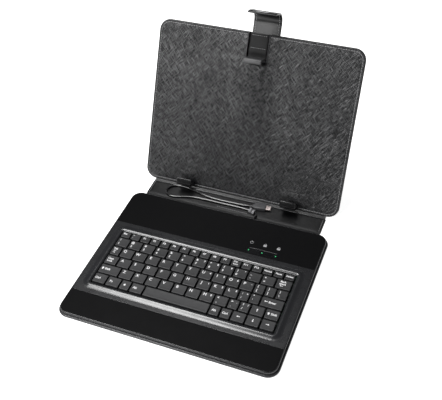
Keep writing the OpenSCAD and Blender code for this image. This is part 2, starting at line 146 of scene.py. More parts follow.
class Shader:
    """A Principled material with short calls for its procedural detail."""

    def __init__(self, name, color, roughness, **sockets):
        self.material = bpy.data.materials.new(name)
        self.material.use_nodes = True
        self.tree = self.material.node_tree
        self.bsdf = self.tree.nodes["Principled BSDF"]
        self.bsdf.inputs["Base Color"].default_value = (*color, 1)
        self.bsdf.inputs["Roughness"].default_value = roughness
        for socket, value in sockets.items():
            self.bsdf.inputs[socket.replace("_", " ")].default_value = value
        self.coords = self.node("ShaderNodeTexCoord").outputs["Object"]

    def node(self, kind, inputs=(), **settings):
        """A new node. Each input is a number, numbers or the output of another node."""
        made = self.tree.nodes.new(kind)
        for key, value in settings.items():
            setattr(made, key, value)
        for socket, value in dict(inputs).items():
            if isinstance(value, bpy.types.NodeSocket):
                self.link(value, made.inputs[socket])
            else:
                made.inputs[socket].default_value = value
        return made

    def link(self, a, b):
        self.tree.links.new(a, b)

    def turned(self, angle=0.0, axis=0, scale=(1, 1, 1)):
        """Object coordinates turned about an axis and scaled."""
        mapping = self.node("ShaderNodeMapping", {"Vector": self.coords, "Scale": scale})
        mapping.inputs["Rotation"].default_value[axis] = angle
        return mapping.outputs["Vector"]

    def noise(self, scale, detail=4.0, rough=0.55, vector=None):
        inputs = {"Scale": scale, "Detail": detail, "Roughness": rough,
                  "Vector": vector or self.coords}
        return self.node("ShaderNodeTexNoise", inputs).outputs["Fac"]

    def cells(self, scale):
        inputs = {"Scale": scale, "Vector": self.coords}
        return self.node("ShaderNodeTexVoronoi", inputs, feature="F1").outputs["Distance"]

    def ramp(self, value, low, high, a=0.0, b=1.0):
        inputs = {"Value": value, "From Min": low, "From Max": high, "To Min": a, "To Max": b}
        return self.node("ShaderNodeMapRange", inputs).outputs["Result"]

    def math(self, operation, a, b):
        return self.node("ShaderNodeMath", {0: a, 1: b}, operation=operation).outputs["Value"]

    def tint(self, value, dark, light):
        """Base colour between two colours by a value from 0 to 1."""
        inputs = {"Factor": value, "A": (*dark, 1), "B": (*light, 1)}
        made = self.node("ShaderNodeMix", inputs, data_type="RGBA")
        self.link(made.outputs["Result"], self.bsdf.inputs["Base Color"])

    def roughen(self, value, low, high):
        self.link(self.ramp(value, 0, 1, low, high), self.bsdf.inputs["Roughness"])

    def bump(self, height, distance, strength=1.0):
        inputs = {"Strength": strength, "Distance": distance, "Height": height}
        made = self.node("ShaderNodeBump", inputs)
        if self.bsdf.inputs["Normal"].is_linked:
            self.link(self.bsdf.inputs["Normal"].links[0].from_socket, made.inputs["Normal"])
        self.link(made.outputs["Normal"], self.bsdf.inputs["Normal"])


def scaled(color, factor):
    return tuple(c * factor for c in color)


def leather(name, color, roughness=0.5, grain=900, depth=0.00012):
    """Pebbled leatherette: two sizes of cells, soft creases and uneven polish."""
    s = Shader(name, color, roughness, Specular_IOR_Level=0.45)
    pebbles = s.cells(grain)
    fine = s.cells(grain * 2.3)
    creases = s.noise(45, 5)
    s.tint(s.ramp(creases, 0.35, 0.65), scaled(color, 0.8), scaled(color, 1.2))
    s.roughen(s.noise(120, 3), roughness - 0.08, roughness + 0.1)
    s.bump(s.math("ADD", pebbles, s.math("MULTIPLY", fine, 0.5)), depth, 0.5)
    s.bump(creases, 0.0012, 0.12)
    return s.material


# The hatching's lines: turn in degrees, fineness and length. The duller band of painted shade: metres on the lid
HATCH_TURN = 40
HATCH_SCALE = 1800
HATCH_STRETCH = 16
SHADE_BAND_X = 0.006
SHADE_BAND_HALF = 0.026
SHADE_BAND_TOP = 0.2
SHADE_BAND_FOOT = 0.125


def hatched(name, color, angle_x):
    """Cross-hatched leatherette, a little duller in a band under the hook: painted shade of the bulging lining
    there.
    """
    s = Shader(name, color, 0.45)
    flat = s.turned(-angle_x, 0)
    patchy = s.noise(38, 4, vector=flat)
    lines = []
    for turn in (HATCH_TURN, -HATCH_TURN):
        mapping = s.node("ShaderNodeMapping", {"Vector": flat, "Scale": (1, HATCH_STRETCH, 1)},
                         vector_type="TEXTURE")
        mapping.inputs["Rotation"].default_value[2] = math.radians(turn)
        lines.append(s.noise(HATCH_SCALE, 1, 0.5, mapping.outputs["Vector"]))
    cross = s.ramp(s.math("MAXIMUM", lines[0], lines[1]), 0.48, 0.68)
    shade = s.math("MULTIPLY", cross, s.ramp(patchy, 0.3, 0.7, 0.8, 1.1))
    plane = s.node("ShaderNodeSeparateXYZ", {"Vector": flat})
    # Painted shade: the specular is turned down in a band under the hook, standing in for the shade of the
    # lining's bulge there
    aside = s.math("ABSOLUTE", s.math("SUBTRACT", plane.outputs["X"], SHADE_BAND_X), 0)
    beside = s.ramp(aside, 0, SHADE_BAND_HALF)
    below = s.ramp(plane.outputs["Y"], SHADE_BAND_TOP, SHADE_BAND_FOOT)
    gloss_dulling = s.ramp(s.math("MAXIMUM", beside, below), 0, 1, 0.62, 1.0)
    broad = s.ramp(s.noise(16, 2, vector=flat), 0.3, 0.7, 0.85, 1.2)
    polish = s.math("MULTIPLY", s.math("MULTIPLY", gloss_dulling, broad), s.ramp(shade, 0, 1, 0.24, 1.2))
    s.tint(shade, scaled(color, 0.4), scaled(color, 2.2))
    s.link(polish, s.bsdf.inputs["Specular IOR Level"])
    s.roughen(shade, 0.46, 0.34)
    s.bump(cross, 0.0002, 0.8)
    s.bump(patchy, 0.002, 0.1)
    return s.material


def moulded(name, color, roughness=0.4, texture=3500, depth=0.00003, level=0.5):
    """Injection-moulded plastic with a spark-eroded texture and faint handling marks."""
    s = Shader(name, color, roughness, Specular_IOR_Level=level)
    s.bump(s.noise(texture, 2), depth, 0.5)
    marks = s.noise(35, 4)
    s.tint(s.ramp(marks, 0.3, 0.7), scaled(color, 0.92), scaled(color, 1.08))
    s.roughen(s.noise(90, 4), roughness - 0.05, roughness + 0.07)
    return s.material


def key_plastic(name, color):
    """Keycap plastic: each cap takes its own slight tone and polish."""
    s = Shader(name, color, 0.42, Specular_IOR_Level=0.5)
    island = s.node("ShaderNodeNewGeometry").outputs["Random Per Island"]
    s.tint(island, scaled(color, 0.86), scaled(color, 1.12))
    gloss_dulling = s.noise(140, 4)
    s.link(s.math("ADD", s.ramp(gloss_dulling, 0.3, 0.7, 0.36, 0.46), s.math("MULTIPLY", island, 0.06)),
           s.bsdf.inputs["Roughness"])
    s.bump(s.noise(5200, 2), 0.00002, 0.5)
    return s.material


def metal(name, color, roughness=0.25, stretch=(1, 30, 30)):
    """Drawn or plated metal with fine brushing."""
    s = Shader(name, color, roughness, Metallic=1.0)
    brushed = s.noise(900, 3, vector=s.turned(0, 0, stretch))
    s.roughen(brushed, roughness - 0.06, roughness + 0.12)
    s.bump(brushed, 0.00002, 0.4)
    return s.material


def thread(name, color):
    """Twisted sewing thread."""
    s = Shader(name, color, 0.6, Sheen_Weight=0.3)
    twist = s.node("ShaderNodeTexWave", {"Scale": 900, "Vector": s.turned(0.6, 2)})
    s.bump(twist.outputs["Fac"], 0.00008, 0.6)
    s.tint(s.noise(400, 2), scaled(color, 0.75), scaled(color, 1.2))
    return s.material


def glossy(name, color, roughness=0.12, **sockets):
    """Polished plastic with a few faint smears."""
    s = Shader(name, color, roughness, **sockets)
    s.roughen(s.noise(200, 4), roughness - 0.04, roughness + 0.1)
    return s.material


MATERIALS = {
    "outer": leather("leather_outer", (0.016, 0.016, 0.017), 0.42),
    # Lighter copy of the outer leather, on the base cover and the slot's turned edges: painted light for the shine
    # caught along those rolled edges
    "edge": leather("leather_edge_painted_light", (0.038, 0.038, 0.041), 0.27, 1100, 0.00002),
    "welt": leather("leather_welt", (0.03, 0.03, 0.032), 0.24, 1100, 0.00004),
    "strap": leather("leather_strap", (0.003, 0.003, 0.0034), 0.3, 1500, 0.00005),
    "spine": leather("leather_spine", (0.004, 0.004, 0.0045), 0.36, 1300, 0.00008),
    "lining": hatched("lining_hatched", (0.0044, 0.0046, 0.0056), math.radians(LID_TILT)),
    "grey": moulded("plastic_grey", (0.014, 0.0143, 0.016), 0.27),
    "ridge": moulded("plastic_ridge", (0.018, 0.0184, 0.0205), 0.22, 3500, 0.000002, 0.8),
    "black": moulded("plastic_black", (0.0026, 0.0026, 0.003), 0.5, 4200, 0.00003, 0.08),
    "clip": moulded("plastic_clip", (0.0035, 0.0035, 0.004), 0.22, 3500, 0.00001, 0.6),
    "tongue": leather("leather_tongue", (0.002, 0.002, 0.0024), 0.7, 1500, 0.00006),
    "fold": leather("leather_fold", (0.006, 0.006, 0.0065), 0.6, 1300, 0.00008),
    "hook": moulded("plastic_hook", (0.045, 0.045, 0.047), 0.4),
    "key": key_plastic("plastic_key", (0.021, 0.0213, 0.0228)),
    "ink": moulded("legend_ink", (0.95, 0.95, 0.96), 0.6, 3000, 0.00001),
    "icon": moulded("icon_ink", (0.42, 0.42, 0.43), 0.6, 3000, 0.00001),
    "window": glossy("light_window", (0.006, 0.006, 0.007), 0.1, Coat_Weight=0.6),
    "light": glossy("green_light", (0.05, 0.55, 0.2), 0.2, Emission_Color=(0.05, 0.8, 0.25, 1),
                    Emission_Strength=0.25),
    "cable": glossy("cable_jacket", (0.008, 0.008, 0.009), 0.16, Coat_Weight=1.0),
    "plug": moulded("plug_plastic", (0.06, 0.06, 0.063), 0.42),
    "tie": moulded("tie_plastic", (0.26, 0.26, 0.27), 0.5),
    "shell": metal("plug_metal", (0.6, 0.53, 0.51), 0.5),
    "steel": metal("steel", (0.55, 0.55, 0.56), 0.3),
    "board": moulded("fibre_board", (0.24, 0.19, 0.13), 0.85, 1500, 0.0001),
    "circuit": moulded("circuit_green", (0.02, 0.12, 0.05), 0.35),
    "dome": moulded("dome_rubber", (0.01, 0.01, 0.01), 0.7),
    "thread": thread("thread_grey", (0.26, 0.26, 0.265)),
}


# ---------- mesh tools ----------

def outline(w, d, r, cy=0.0, steps=8):
    """A level rounded rectangle as points, counter-clockwise from the right side."""
    points = []
    for q, (sx, sy) in enumerate(((1, 1), (-1, 1), (-1, -1), (1, -1))):
        for k in range(steps + 1):
            a = math.radians(90 * q + 90 * k / steps)
            points.append((sx * (w / 2 - r) + r * math.cos(a),
                           cy + sy * (d / 2 - r) + r * math.sin(a)))
    return points


def mesh_piece(name, verts, faces, material, place=None, sharp=40):
    """A mesh object from millimetre points, moved by place, with its outward normals set."""
    mesh = bpy.data.meshes.new(name)
    mesh.from_pydata([Vector(v) for v in verts], [], faces)
    if place is not None:
        mesh.transform(place)
    mesh.transform(Matrix.Scale(MM, 4))
    bm = bmesh.new()
    bm.from_mesh(mesh)
    bmesh.ops.remove_doubles(bm, verts=bm.verts, dist=1e-7)
    bmesh.ops.recalc_face_normals(bm, faces=bm.faces)
    bm.to_mesh(mesh)
    bm.free()
    smooth(mesh, sharp)
    mesh.materials.append(MATERIALS[material])
    return placed(name, mesh)


def smooth(mesh, sharp=40):
    mesh.shade_smooth()
    mesh.set_sharp_from_angle(angle=math.radians(sharp))


def loft(rings, closed=False):
    """Points and faces through rings of the same length, capped at both ends unless closed."""
    n = len(rings[0])
    verts = [p for ring in rings for p in ring]
    faces = []
    last = len(rings) if closed else len(rings) - 1
    for i in range(last):
        a, b = i * n, (i + 1) % len(rings) * n
        faces += [(a + j, a + (j + 1) % n, b + (j + 1) % n, b + j) for j in range(n)]
    if not closed:
        faces.append(tuple(reversed(range(n))))
        faces.append(tuple(range(len(verts) - n, len(verts))))
    return verts, faces


def circle(count):
    """Angles of evenly spaced points round a circle."""
    return [2 * math.pi * k / count for k in range(count)]


def fillet(inset, top, r, steps=4):
    """(inset, height) pairs round a quarter circle that ends level at the top."""
    return [(inset + r * (1 - math.cos(a)), top - r * (1 - math.sin(a)))
            for a in (math.radians(90 * k / steps) for k in range(steps + 1))]


def slab_rings(w, d, r, cy, profile, steps=8):
    """Rings of a rounded slab: each profile pair is (inset, height)."""
    return [[(x, y, z) for x, y in outline(w - 2 * i, d - 2 * i, max(r - i, 0.05), cy, steps)]
            for i, z in profile]


def slab(name, w, d, r, cy, profile, material, place=None, steps=8):
    return mesh_piece(name, *loft(slab_rings(w, d, r, cy, profile, steps)), material, place)


def round_edges(obj, width, segments=3, angle=30):
    modifier = obj.modifiers.new("edges", "BEVEL")
    modifier.width = width * MM
    modifier.segments = segments
    modifier.limit_method = "ANGLE"
    modifier.angle_limit = math.radians(angle)
    apply_modifiers(obj)


def sheet(columns, rows, point_at, foot):
    """Points and faces of a thin closed sheet: a grid on top, a flat underside at height foot."""
    step = rows + 1
    verts = [point_at(i, j) for i in range(columns + 1) for j in range(step)]
    faces = [(i * step + j, (i + 1) * step + j, (i + 1) * step + j + 1, i * step + j + 1)
             for i in range(columns) for j in range(rows)]
    rim = ([i * step for i in range(columns + 1)] + [columns * step + j for j in range(1, step)]
           + [i * step + rows for i in range(columns - 1, -1, -1)] + list(range(rows - 1, 0, -1)))
    base, count = len(verts), len(rim)
    verts += [(verts[i][0], verts[i][1], foot) for i in rim]
    faces += [(rim[k], rim[(k + 1) % count], base + (k + 1) % count, base + k)
              for k in range(count)]
    faces.append(tuple(range(base, base + count)))
    return verts, faces


def even_normals(obj):
    """Keeps large flat faces flat-looking beside their rounded edges."""
    modifier = obj.modifiers.new("normals", "WEIGHTED_NORMAL")
    modifier.keep_sharp = True
    modifier.weight = 100


def apply_modifiers(obj):
    """Bakes the modifiers into the mesh."""
    graph = bpy.context.evaluated_depsgraph_get()
    made = bpy.data.meshes.new_from_object(obj.evaluated_get(graph))
    obj.modifiers.clear()
    obj.data = made
    smooth(made)


def combine(obj, other, operation):
    """Boolean of obj with other, which is used up."""
    modifier = obj.modifiers.new("boolean", "BOOLEAN")
    modifier.operation = operation
    modifier.solver = "EXACT"
    modifier.object = other
    apply_modifiers(obj)
    bpy.data.objects.remove(other)


def join(name, objects):
    """One object from several, keeping their materials."""
    bm = bmesh.new()
    materials = []
    for obj in objects:
        mesh = obj.data.copy()
        mesh.transform(obj.matrix_world)
        base = len(materials)
        materials += list(mesh.materials)
        for face in mesh.polygons:
            face.material_index += base
        bm.from_mesh(mesh)
    unique = list(dict.fromkeys(materials))
    for face in bm.faces:
        face.material_index = unique.index(materials[face.material_index])
    mesh = bpy.data.meshes.new(name)
    bm.to_mesh(mesh)
    bm.free()
    for material in unique:
        mesh.materials.append(material)
    smooth(mesh)
    joined = placed(name, mesh)
    for obj in objects:
        bpy.data.objects.remove(obj)
    return joined


def tube_mesh(path, radius, sides=16, closed=False):
    """Points and faces of a round tube along a path of vectors."""
    rings = []
    count = len(path)
    side = None
    for i, point in enumerate(path):
        ahead = path[(i + 1) % count] if closed else path[min(i + 1, count - 1)]
        behind = path[i - 1] if closed or i else path[0]
        heading = (ahead - behind).normalized()
        if side is None:
            side = heading.orthogonal().normalized()
        side = (side - heading * side.dot(heading)).normalized()
        up = heading.cross(side)
        rings.append([point + radius * (math.cos(a) * side + math.sin(a) * up)
                      for a in circle(sides)])
    return loft(rings, closed)


def move_mm(obj, place):
    """Moves a mesh by a matrix given in millimetres."""
    obj.data.transform(Matrix.Scale(MM, 4) @ place @ Matrix.Scale(1 / MM, 4))


def shift(obj, x):
    """Moves a mesh sideways by x millimetres."""
    obj.data.transform(Matrix.Translation((x * MM, 0, 0)))
    return obj


def finish_piece(obj, body, slot, *nodes):
    """Puts a piece on its body and lets it stand for CAD nodes; slot, a name for its finish, is not used."""
    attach(obj, body)
    if nodes:
        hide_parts(*nodes)
    return obj


def sewn(name, path, normal_at, pitch, length, radius, closed=False):
    """A row of thread stitches along a path, each a short sunk-ended loop of thread."""
    spans = [(b - a).length for a, b in zip(path, path[1:] + path[:1])]
    if not closed:
        spans = spans[:-1]
    total = sum(spans)
    count = max(1, round(total / pitch))
    verts, faces = [], []

    def at(s):
        s = s % total if closed else min(max(s, 0), total - 1e-6)
        i = 0
        while s > spans[i]:
            s -= spans[i]
            i += 1
        return path[i].lerp(path[(i + 1) % len(path)], s / spans[i])

    for k in range(count):
        middle = (k + 0.5) * total / count
        bow = [at(middle + length * (t - 0.5)) for t in (0, 0.2, 0.5, 0.8, 1)]
        up = normal_at(bow[2])
        lifts = (-0.8, 0.15, 0.5, 0.15, -0.8)
        bow = [p + up * (radius * lift) for p, lift in zip(bow, lifts)]
        points, quads = tube_mesh(bow, radius, 6)
        base = len(verts)
        verts += points
        faces += [tuple(base + i for i in f) for f in quads]
    return mesh_piece(name, verts, faces, "thread")


# ---------- cable, before anything else ----------

CABLE_R = 1.2
CABLE_Z = 3.6
CABLE_POINTS = [(33, 102, 4.8), (33, 105, 4.3)] + [(x, y, CABLE_Z) for x, y in (
    (33, 108), (32.8, 111), (31, 114.2), (26, 115.4), (14, 116.8), (0, 117), (-18, 116.8),
    (-36, 116.8), (-52, 116.2), (-63, 113.6), (-73, 110.6), (-82, 109.6), (-89, 112),
    (-92, 117.5), (-90.5, 124), (-85, 128.8), (-76, 130.4), (-66, 129.6), (-56, 127.4),
    (-44, 124.4), (-32, 122.2), (-20, 121.6), (-6, 121.8), (8, 122.2), (17, 122.7),
    (23.4, 123.4))]


def smooth_path(points, steps):
    """A Catmull-Rom line through the points."""
    p = [Vector(q) for q in points]
    line = []
    for i in range(len(p) - 1):
        a, b, c, d = p[max(i - 1, 0)], p[i], p[i + 1], p[min(i + 2, len(p) - 1)]
        for k in range(steps):
            t = k / steps
            line.append(0.5 * (2 * b + (c - a) * t + (2 * a - 5 * b + 4 * c - d) * t ** 2
                               + (3 * b - 3 * c + d - a) * t ** 3))
    return line + [p[-1]]


def usb_cable():
    path = smooth_path(CABLE_POINTS, 6)
    cable = mesh_piece("usb_cable_jacket", *tube_mesh(path, CABLE_R, 18), "cable")
    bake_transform(cable)
    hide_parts("usb_cable")
    plug = plug_pieces()
    tie = cable_tie()
    bushing = cable_bushing()


PLUG_AT = (23.6, 123.4, 4.7)
PLUG_SIZE = (17.2, 9.0, 5.0)
SHELL_SIZE = (6.2, 6.85, 1.8)
PLUG_FRAME = Matrix.Translation(PLUG_AT) @ Matrix.Rotation(math.radians(6), 4, "Z")


def plug_pieces():
    """Moulded plug body with a stepped neck and finger grips, and its metal sleeve."""
    w, d, h = PLUG_SIZE
    sections = [(0, 0.4), (0.2, 0.46), (2.2, 0.5), (2.5, 0.9), (2.8, 0.97), (3.1, 1.0),
                (w - 0.4, 1.0), (w - 0.12, 0.98), (w, 0.93)]
    rings = [[(x, y, z) for y, z in outline(d * k, h * k, 0.9 * k, 0, 5)] for x, k in sections]
    parts = [mesh_piece("plug_overmould", *loft(rings), "plug", PLUG_FRAME)]
    for i in range(5):
        x = 5.2 + i * 1.5
        bar = [Vector((x, -d * 0.32, h / 2)), Vector((x, d * 0.32, h / 2))]
        parts.append(mesh_piece(f"grip_{i}", *tube_mesh(bar, 0.22, 8), "plug", PLUG_FRAME))
    body = join("plug_overmould", parts)
    finish_piece(body, "spine", "cable_rubber", "plug_body")
    return [body, plug_shell()]


def plug_shell():
    """Folded steel sleeve with its two latch openings."""
    length, w, h = SHELL_SIZE
    outer = outline(w, h, 0.5, 0, 4)
    inner = outline(w - 0.6, h - 0.6, 0.3, 0, 4)
    x0 = PLUG_SIZE[0]
    rings = [[(x, y, z) for y, z in ring]
             for x, ring in ((x0, outer), (x0 + length - 0.1, outer), (x0 + length, inner), (x0, inner))]
    shell = mesh_piece("plug_shell_steel", *loft(rings, closed=True), "shell")
    for side in (-1, 1):
        hole = slab("hole", 1.6, 0.9, 0.2, side * 1.9, [(0, 0), (0, h)], "shell")
        combine(shell, shift(hole, x0 + 3.4), "DIFFERENCE")
    move_mm(shell, PLUG_FRAME)
    return finish_piece(shell, "spine", "steel", "plug_shell")


def cable_tie():
    """A soft tie wound four times round the cable, with its twisted ends."""
    (cx, cy, _), _ = span_mm("cable_tie")
    place = Matrix.Translation((cx, cy, CABLE_Z + 0.3)) @ Matrix.Rotation(math.radians(-12), 4, "Z")
    parts = []
    for i, (x, size, lean) in enumerate(((-3.4, 1.0, 0.5), (-1.3, 1.12, -0.4), (0.9, 1.05, 0.6),
                                         (3.0, 1.15, -0.2))):
        ring = [Vector((x + lean * math.sin(a), 2.25 * size * math.cos(a), 1.35 * size * math.sin(a)))
                for a in circle(24)]
        parts.append(mesh_piece(f"wind_{i}", *tube_mesh(ring, 0.95, 10, closed=True), "tie", place))
    for points in ([(1.5, -1.6, 1.2), (3.6, -3.0, 1.1), (2.4, -3.6, -0.2)],
                   [(-1.5, 1.6, 1.3), (-3.4, 2.6, 1.5), (-4.4, 1.6, 1.3)]):
        parts.append(mesh_piece("tail", *tube_mesh(smooth_path(points, 6), 0.7, 10), "tie", place))
    tie = join("cable_tie_wrap", parts)
    return finish_piece(tie, "spine", "tie_rubber", "cable_tie")


def cable_bushing():
    """Strain relief: a collar with a tapered nose."""
    low, high = box_mm("cable_bushing")
    cx, cz = (low[0] + high[0]) / 2, (low[2] + high[2]) / 2
    radii = [(low[1], 1.45), (high[1] - 0.6, 1.45), (high[1] - 0.3, 1.4), (high[1], 1.28)]
    rings = [[(cx + r * math.cos(a), y, cz + r * math.sin(a)) for a in circle(24)]
             for y, r in radii]
    collar = mesh_piece("cable_strain_relief", *loft(rings), "cable")
    return finish_piece(collar, "base", "cable_rubber", "cable_bushing")


usb_cable()


# ---------- base ----------

def base_cover():
    """Leatherette tray of the base: rolled edge all round the keyboard."""
    d = BASE_BACK - BASE_LOW[1]
    profile = [(1.5, 0.0), (0.75, 0.2), (0.2, 0.75), (0, 1.5), (0.2, 2.3), (0.7, 2.8), (1.4, 3.0),
               (4.5, 3.0)]
    cover = slab("base_leather", BASE_W, d, BASE_R, BASE_LOW[1] + d / 2, profile, "edge", steps=14)
    finish_piece(cover, "base", "outer_leather", "base_cover")


def fold_strip(name, section, x, material):
    """A strip of leatherette across a fold."""
    columns = 40
    rings = []
    for i in range(columns + 1):
        u = -x + 2 * x * i / columns
        sag = 0.12 * math.sin(u / 9) * math.cos(u / 23)
        rings.append([(u, y, z + sag * s) for y, z, s in section])
    strip = mesh_piece(name, *loft(rings), material)
    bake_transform(strip)


def base_fold():
    middle = BASE_FOLD[1]
    y0, y1 = middle - 8, middle + 2.6
    top = [(y1, 1.9), (middle + 1.2, 1.75), (middle, 1.55), (middle - 1.2, 1.75),
           (middle - 2.6, 2.2), (y0, 2.6)]
    bottom = [(y0, 0.05), (middle - 1.6, 0.05), (middle, 0.15), (y1, 0.05)]
    section = [(y, z, 1) for y, z in top] + [(y, z, 0) for y, z in bottom]
    fold_strip("base_fold_leather", section, SPINE_HIGH[0] - 0.6,
               "fold")


def over_deck(*pairs):
    """(inset, height) pairs of a profile, from heights over the deck."""
    return [(inset, DECK_Z + z) for inset, z in pairs]


def tray_body():
    """Moulded keyboard frame: rounded edge, recesses for the strips, well and raised ring."""
    foot = [(0.1, TRAY_LOW[2] - 0.7), (0, TRAY_LOW[2] - 0.4)]
    profile = foot + fillet(0, DECK_Z, 1.2, 6) + [(3, DECK_Z)]
    tray = slab("keyboard_frame", TRAY_W, TRAY_D, TRAY_R, TRAY_CY, profile, "grey", steps=14)
    for y0, y1 in ((TRAY_LOW[1] - 5, PALM_BACK + 0.12), (REAR_FRONT - 0.12, TRAY_HIGH[1] + 5)):
        recess = slab("recess", TRAY_W - 2.4, TRAY_D - 2.4, TRAY_R - 1.2, TRAY_CY,
                      over_deck((0, -0.6), (0, 2)), "grey", steps=14)
        keep = block("keep", (-200, y0, 0), (200, y1, 30))
        combine(recess, keep, "INTERSECT")
        combine(tray, recess, "DIFFERENCE")
    well = slab("well", FIELD_W + 3, WELL_D + 2, 2, WELL_CY, [(0, 3.6), (0, DECK_Z + 2)], "grey")
    combine(tray, well, "DIFFERENCE")
    combine(tray, window_cut(), "DIFFERENCE")
    round_edges(tray, 0.16, 2, 50)
    even_normals(tray)
    finish_piece(tray, "base", "grey_plastic", "tray_frame", "tray_shell")
    finish_piece(ridge(), "base", "grey_plastic")


def block(name, low, high):
    """A plain box, used only as a cutter."""
    verts = [(x, y, z) for x in (low[0], high[0]) for y in (low[1], high[1]) for z in (low[2], high[2])]
    faces = [(0, 1, 3, 2), (4, 6, 7, 5), (0, 4, 5, 1), (2, 3, 7, 6), (0, 2, 6, 4), (1, 5, 7, 3)]
    return mesh_piece(name, verts, faces, "grey")


def ridge():
    """Raised ring round the keys, meeting the deck in a soft slope."""
    profile = [(0, 4.4)] + over_deck(
        (0, 0.1), (-0.12, 0.35), (-1.0, 0.85), (-2.1, 1.25), (-3.0, 1.4), (-3.9, 1.3),
        (-5.0, 0.95), (-6.2, 0.52), (-7.4, 0.2), (-8.4, 0.05), (-9.2, 0.005), (-9.8, -0.03))
    rings = slab_rings(FIELD_W + 1, WELL_D, 1.6, WELL_CY, profile, 10)
    verts, faces = loft(rings)
    return mesh_piece("key_ring", verts, faces[:-2], "ridge", sharp=60)


def window_cut():
    (cx, cy, _), size = span_mm("light_window")
    w, d = size[0] + 0.3, size[1] + 0.3
    cut = slab("window_cut", w, d, d / 2 - 0.01, cy, [(0, 3.9), (0, 9)], "grey")
    return shift(cut, cx)


def strip_panel(name, node, y0, y1, cut=None):
    """A thin matt panel let into the frame, with a small rounded edge."""
    profile = over_deck((0, -0.58), (0, -0.12), (0.04, -0.03), (0.14, 0))
    panel = slab(name, TRAY_W - 2.7, TRAY_D - 2.7, TRAY_R - 1.3, TRAY_CY, profile, "black", steps=14)
    keep = slab("keep", 400, y1 - y0, 0.8, (y0 + y1) / 2, [(0, 0), (0, 30)], "black")
    combine(panel, keep, "INTERSECT")
    if cut:
        combine(panel, cut, "DIFFERENCE")
    round_edges(panel, 0.1, 2, 50)
    even_normals(panel)
    finish_piece(panel, "base", "black_plastic", node)


def light_window():
    """Dark window lens with a rim, and three small lamps under it."""
    (cx, cy, _), (w, d, _) = span_mm("light_window")
    profile = over_deck((0, -1.4), (0, -0.12), (0.08, 0), (0.3, 0), (0.42, -0.3), (0.6, -0.5),
                        (d / 2 - 0.6, -0.53))
    lens = slab("window_lens", w, d, d / 2 - 0.01, cy, profile, "window", steps=12)
    finish_piece(shift(lens, cx), "base", "window", "light_window")
    pitch = (span_mm("status_lights")[1][0] - 2) / 2
    lamps = []
    for i in (-1, 0, 1):
        lamp = slab(f"lamp_{i + 1}", 1.5, 1.5, 0.74, cy, [(0, DECK_Z - 0.7)]
                    + fillet(0, DECK_Z - 0.4, 0.25, 3) + [(0.5, DECK_Z - 0.38)], "light")
        lamps.append(shift(lamp, cx + i * pitch))
    finish_piece(join("status_lamps", lamps), "base", "green_light", "status_lights")
    light_icons(cx, cy + 12, pitch)


def light_icons(cx, cy, pitch):
    """Three generic printed marks: a power ring and two locks."""
    marks = []
    z = DECK_Z + 0.005
    stroke = 0.26
    for i in (-1, 0, 1):
        x = cx + i * pitch
        ring = [Vector((x + 1.9 * math.cos(a), cy + 1.7 * math.sin(a), z))
                for a in circle(20)]
        if i < 0:
            marks.append(mesh_piece("mark_a", *tube_mesh(ring, stroke, 6, closed=True), "icon"))
            bar = [Vector((x, cy + 0.2, z)), Vector((x, cy + 2.5, z))]
            marks.append(mesh_piece("mark_b", *tube_mesh(bar, stroke, 6), "icon"))
            continue
        body = slab("mark_c", 3.9, 2.9, 0.5, cy - 0.7, [(0, DECK_Z - 0.02), (0, z)], "icon")
        marks.append(shift(body, x))
        bow = [Vector((x + 1.3 * math.cos(a), cy + 0.8 + 1.4 * math.sin(a), z))
               for a in (math.pi * k / 10 for k in range(11))]
        marks.append(mesh_piece("mark_d", *tube_mesh(bow, stroke, 6), "icon"))
    finish_piece(join("light_icons", marks), "base", "black_plastic")


base_cover()
base_fold()
tray_body()
strip_panel("palm_rest_strip", "palm_panel", TRAY_LOW[1] - 5, PALM_BACK)
strip_panel("rear_strip", "rear_panel", REAR_FRONT, TRAY_HIGH[1] + 5, window_cut())
light_window()


# ---------- keys ----------

def filled(widths):
    return widths + [FIELD_W - sum(widths)]


KEY_ROWS = [
    [SLIM] * 17,
    filled([KEY_PITCH] * 12),
    filled([13.0] + [KEY_PITCH] * 10 + [SLIM] * 2),
    filled([16.6] + [KEY_PITCH] * 9 + [SLIM] * 2),
    filled([26.4] + [KEY_PITCH] * 8 + [SLIM] * 2 + [KEY_PITCH]),
    filled([17.2, 17.2, SLIM, KEY_PITCH, 79.6, SLIM, SLIM, KEY_PITCH, KEY_PITCH]),
]
KEY_NODES = {
    "key_escape": (0, 0, 0), "keys_function": (0, 1, 16),
    "keys_number": (1, 0, 11), "key_backspace": (1, 12, 12),
    "key_tab": (2, 0, 0), "keys_upper": (2, 1, 13),
    "key_caps": (3, 0, 0), "keys_home": (3, 1, 11), "key_enter": (3, 12, 12),
    "key_shift_left": (4, 0, 0), "keys_lower": (4, 1, 10), "key_up": (4, 11, 11),
    "key_shift_right": (4, 12, 12),
    "key_ctrl_left": (5, 0, 0), "key_fn": (5, 1, 1), "key_menu": (5, 2, 2),
    "key_alt_left": (5, 3, 3), "key_space": (5, 4, 4), "key_alt_right": (5, 5, 5),
    "key_ctrl_right": (5, 6, 6), "key_left": (5, 7, 7), "key_down": (5, 8, 8),
    "key_right": (5, 9, 9),
}
# Where letters stand: mm from the cap's left edge and from its back edge, and their height
ONE_LINE = (4.1, 4.1, 3.7)
TOP_ROW = (4.4, 3.1, 2.7)
UPPER = (3.2, 3.4, 3.0)
LOWER = (3.2, 9.1, 3.0)
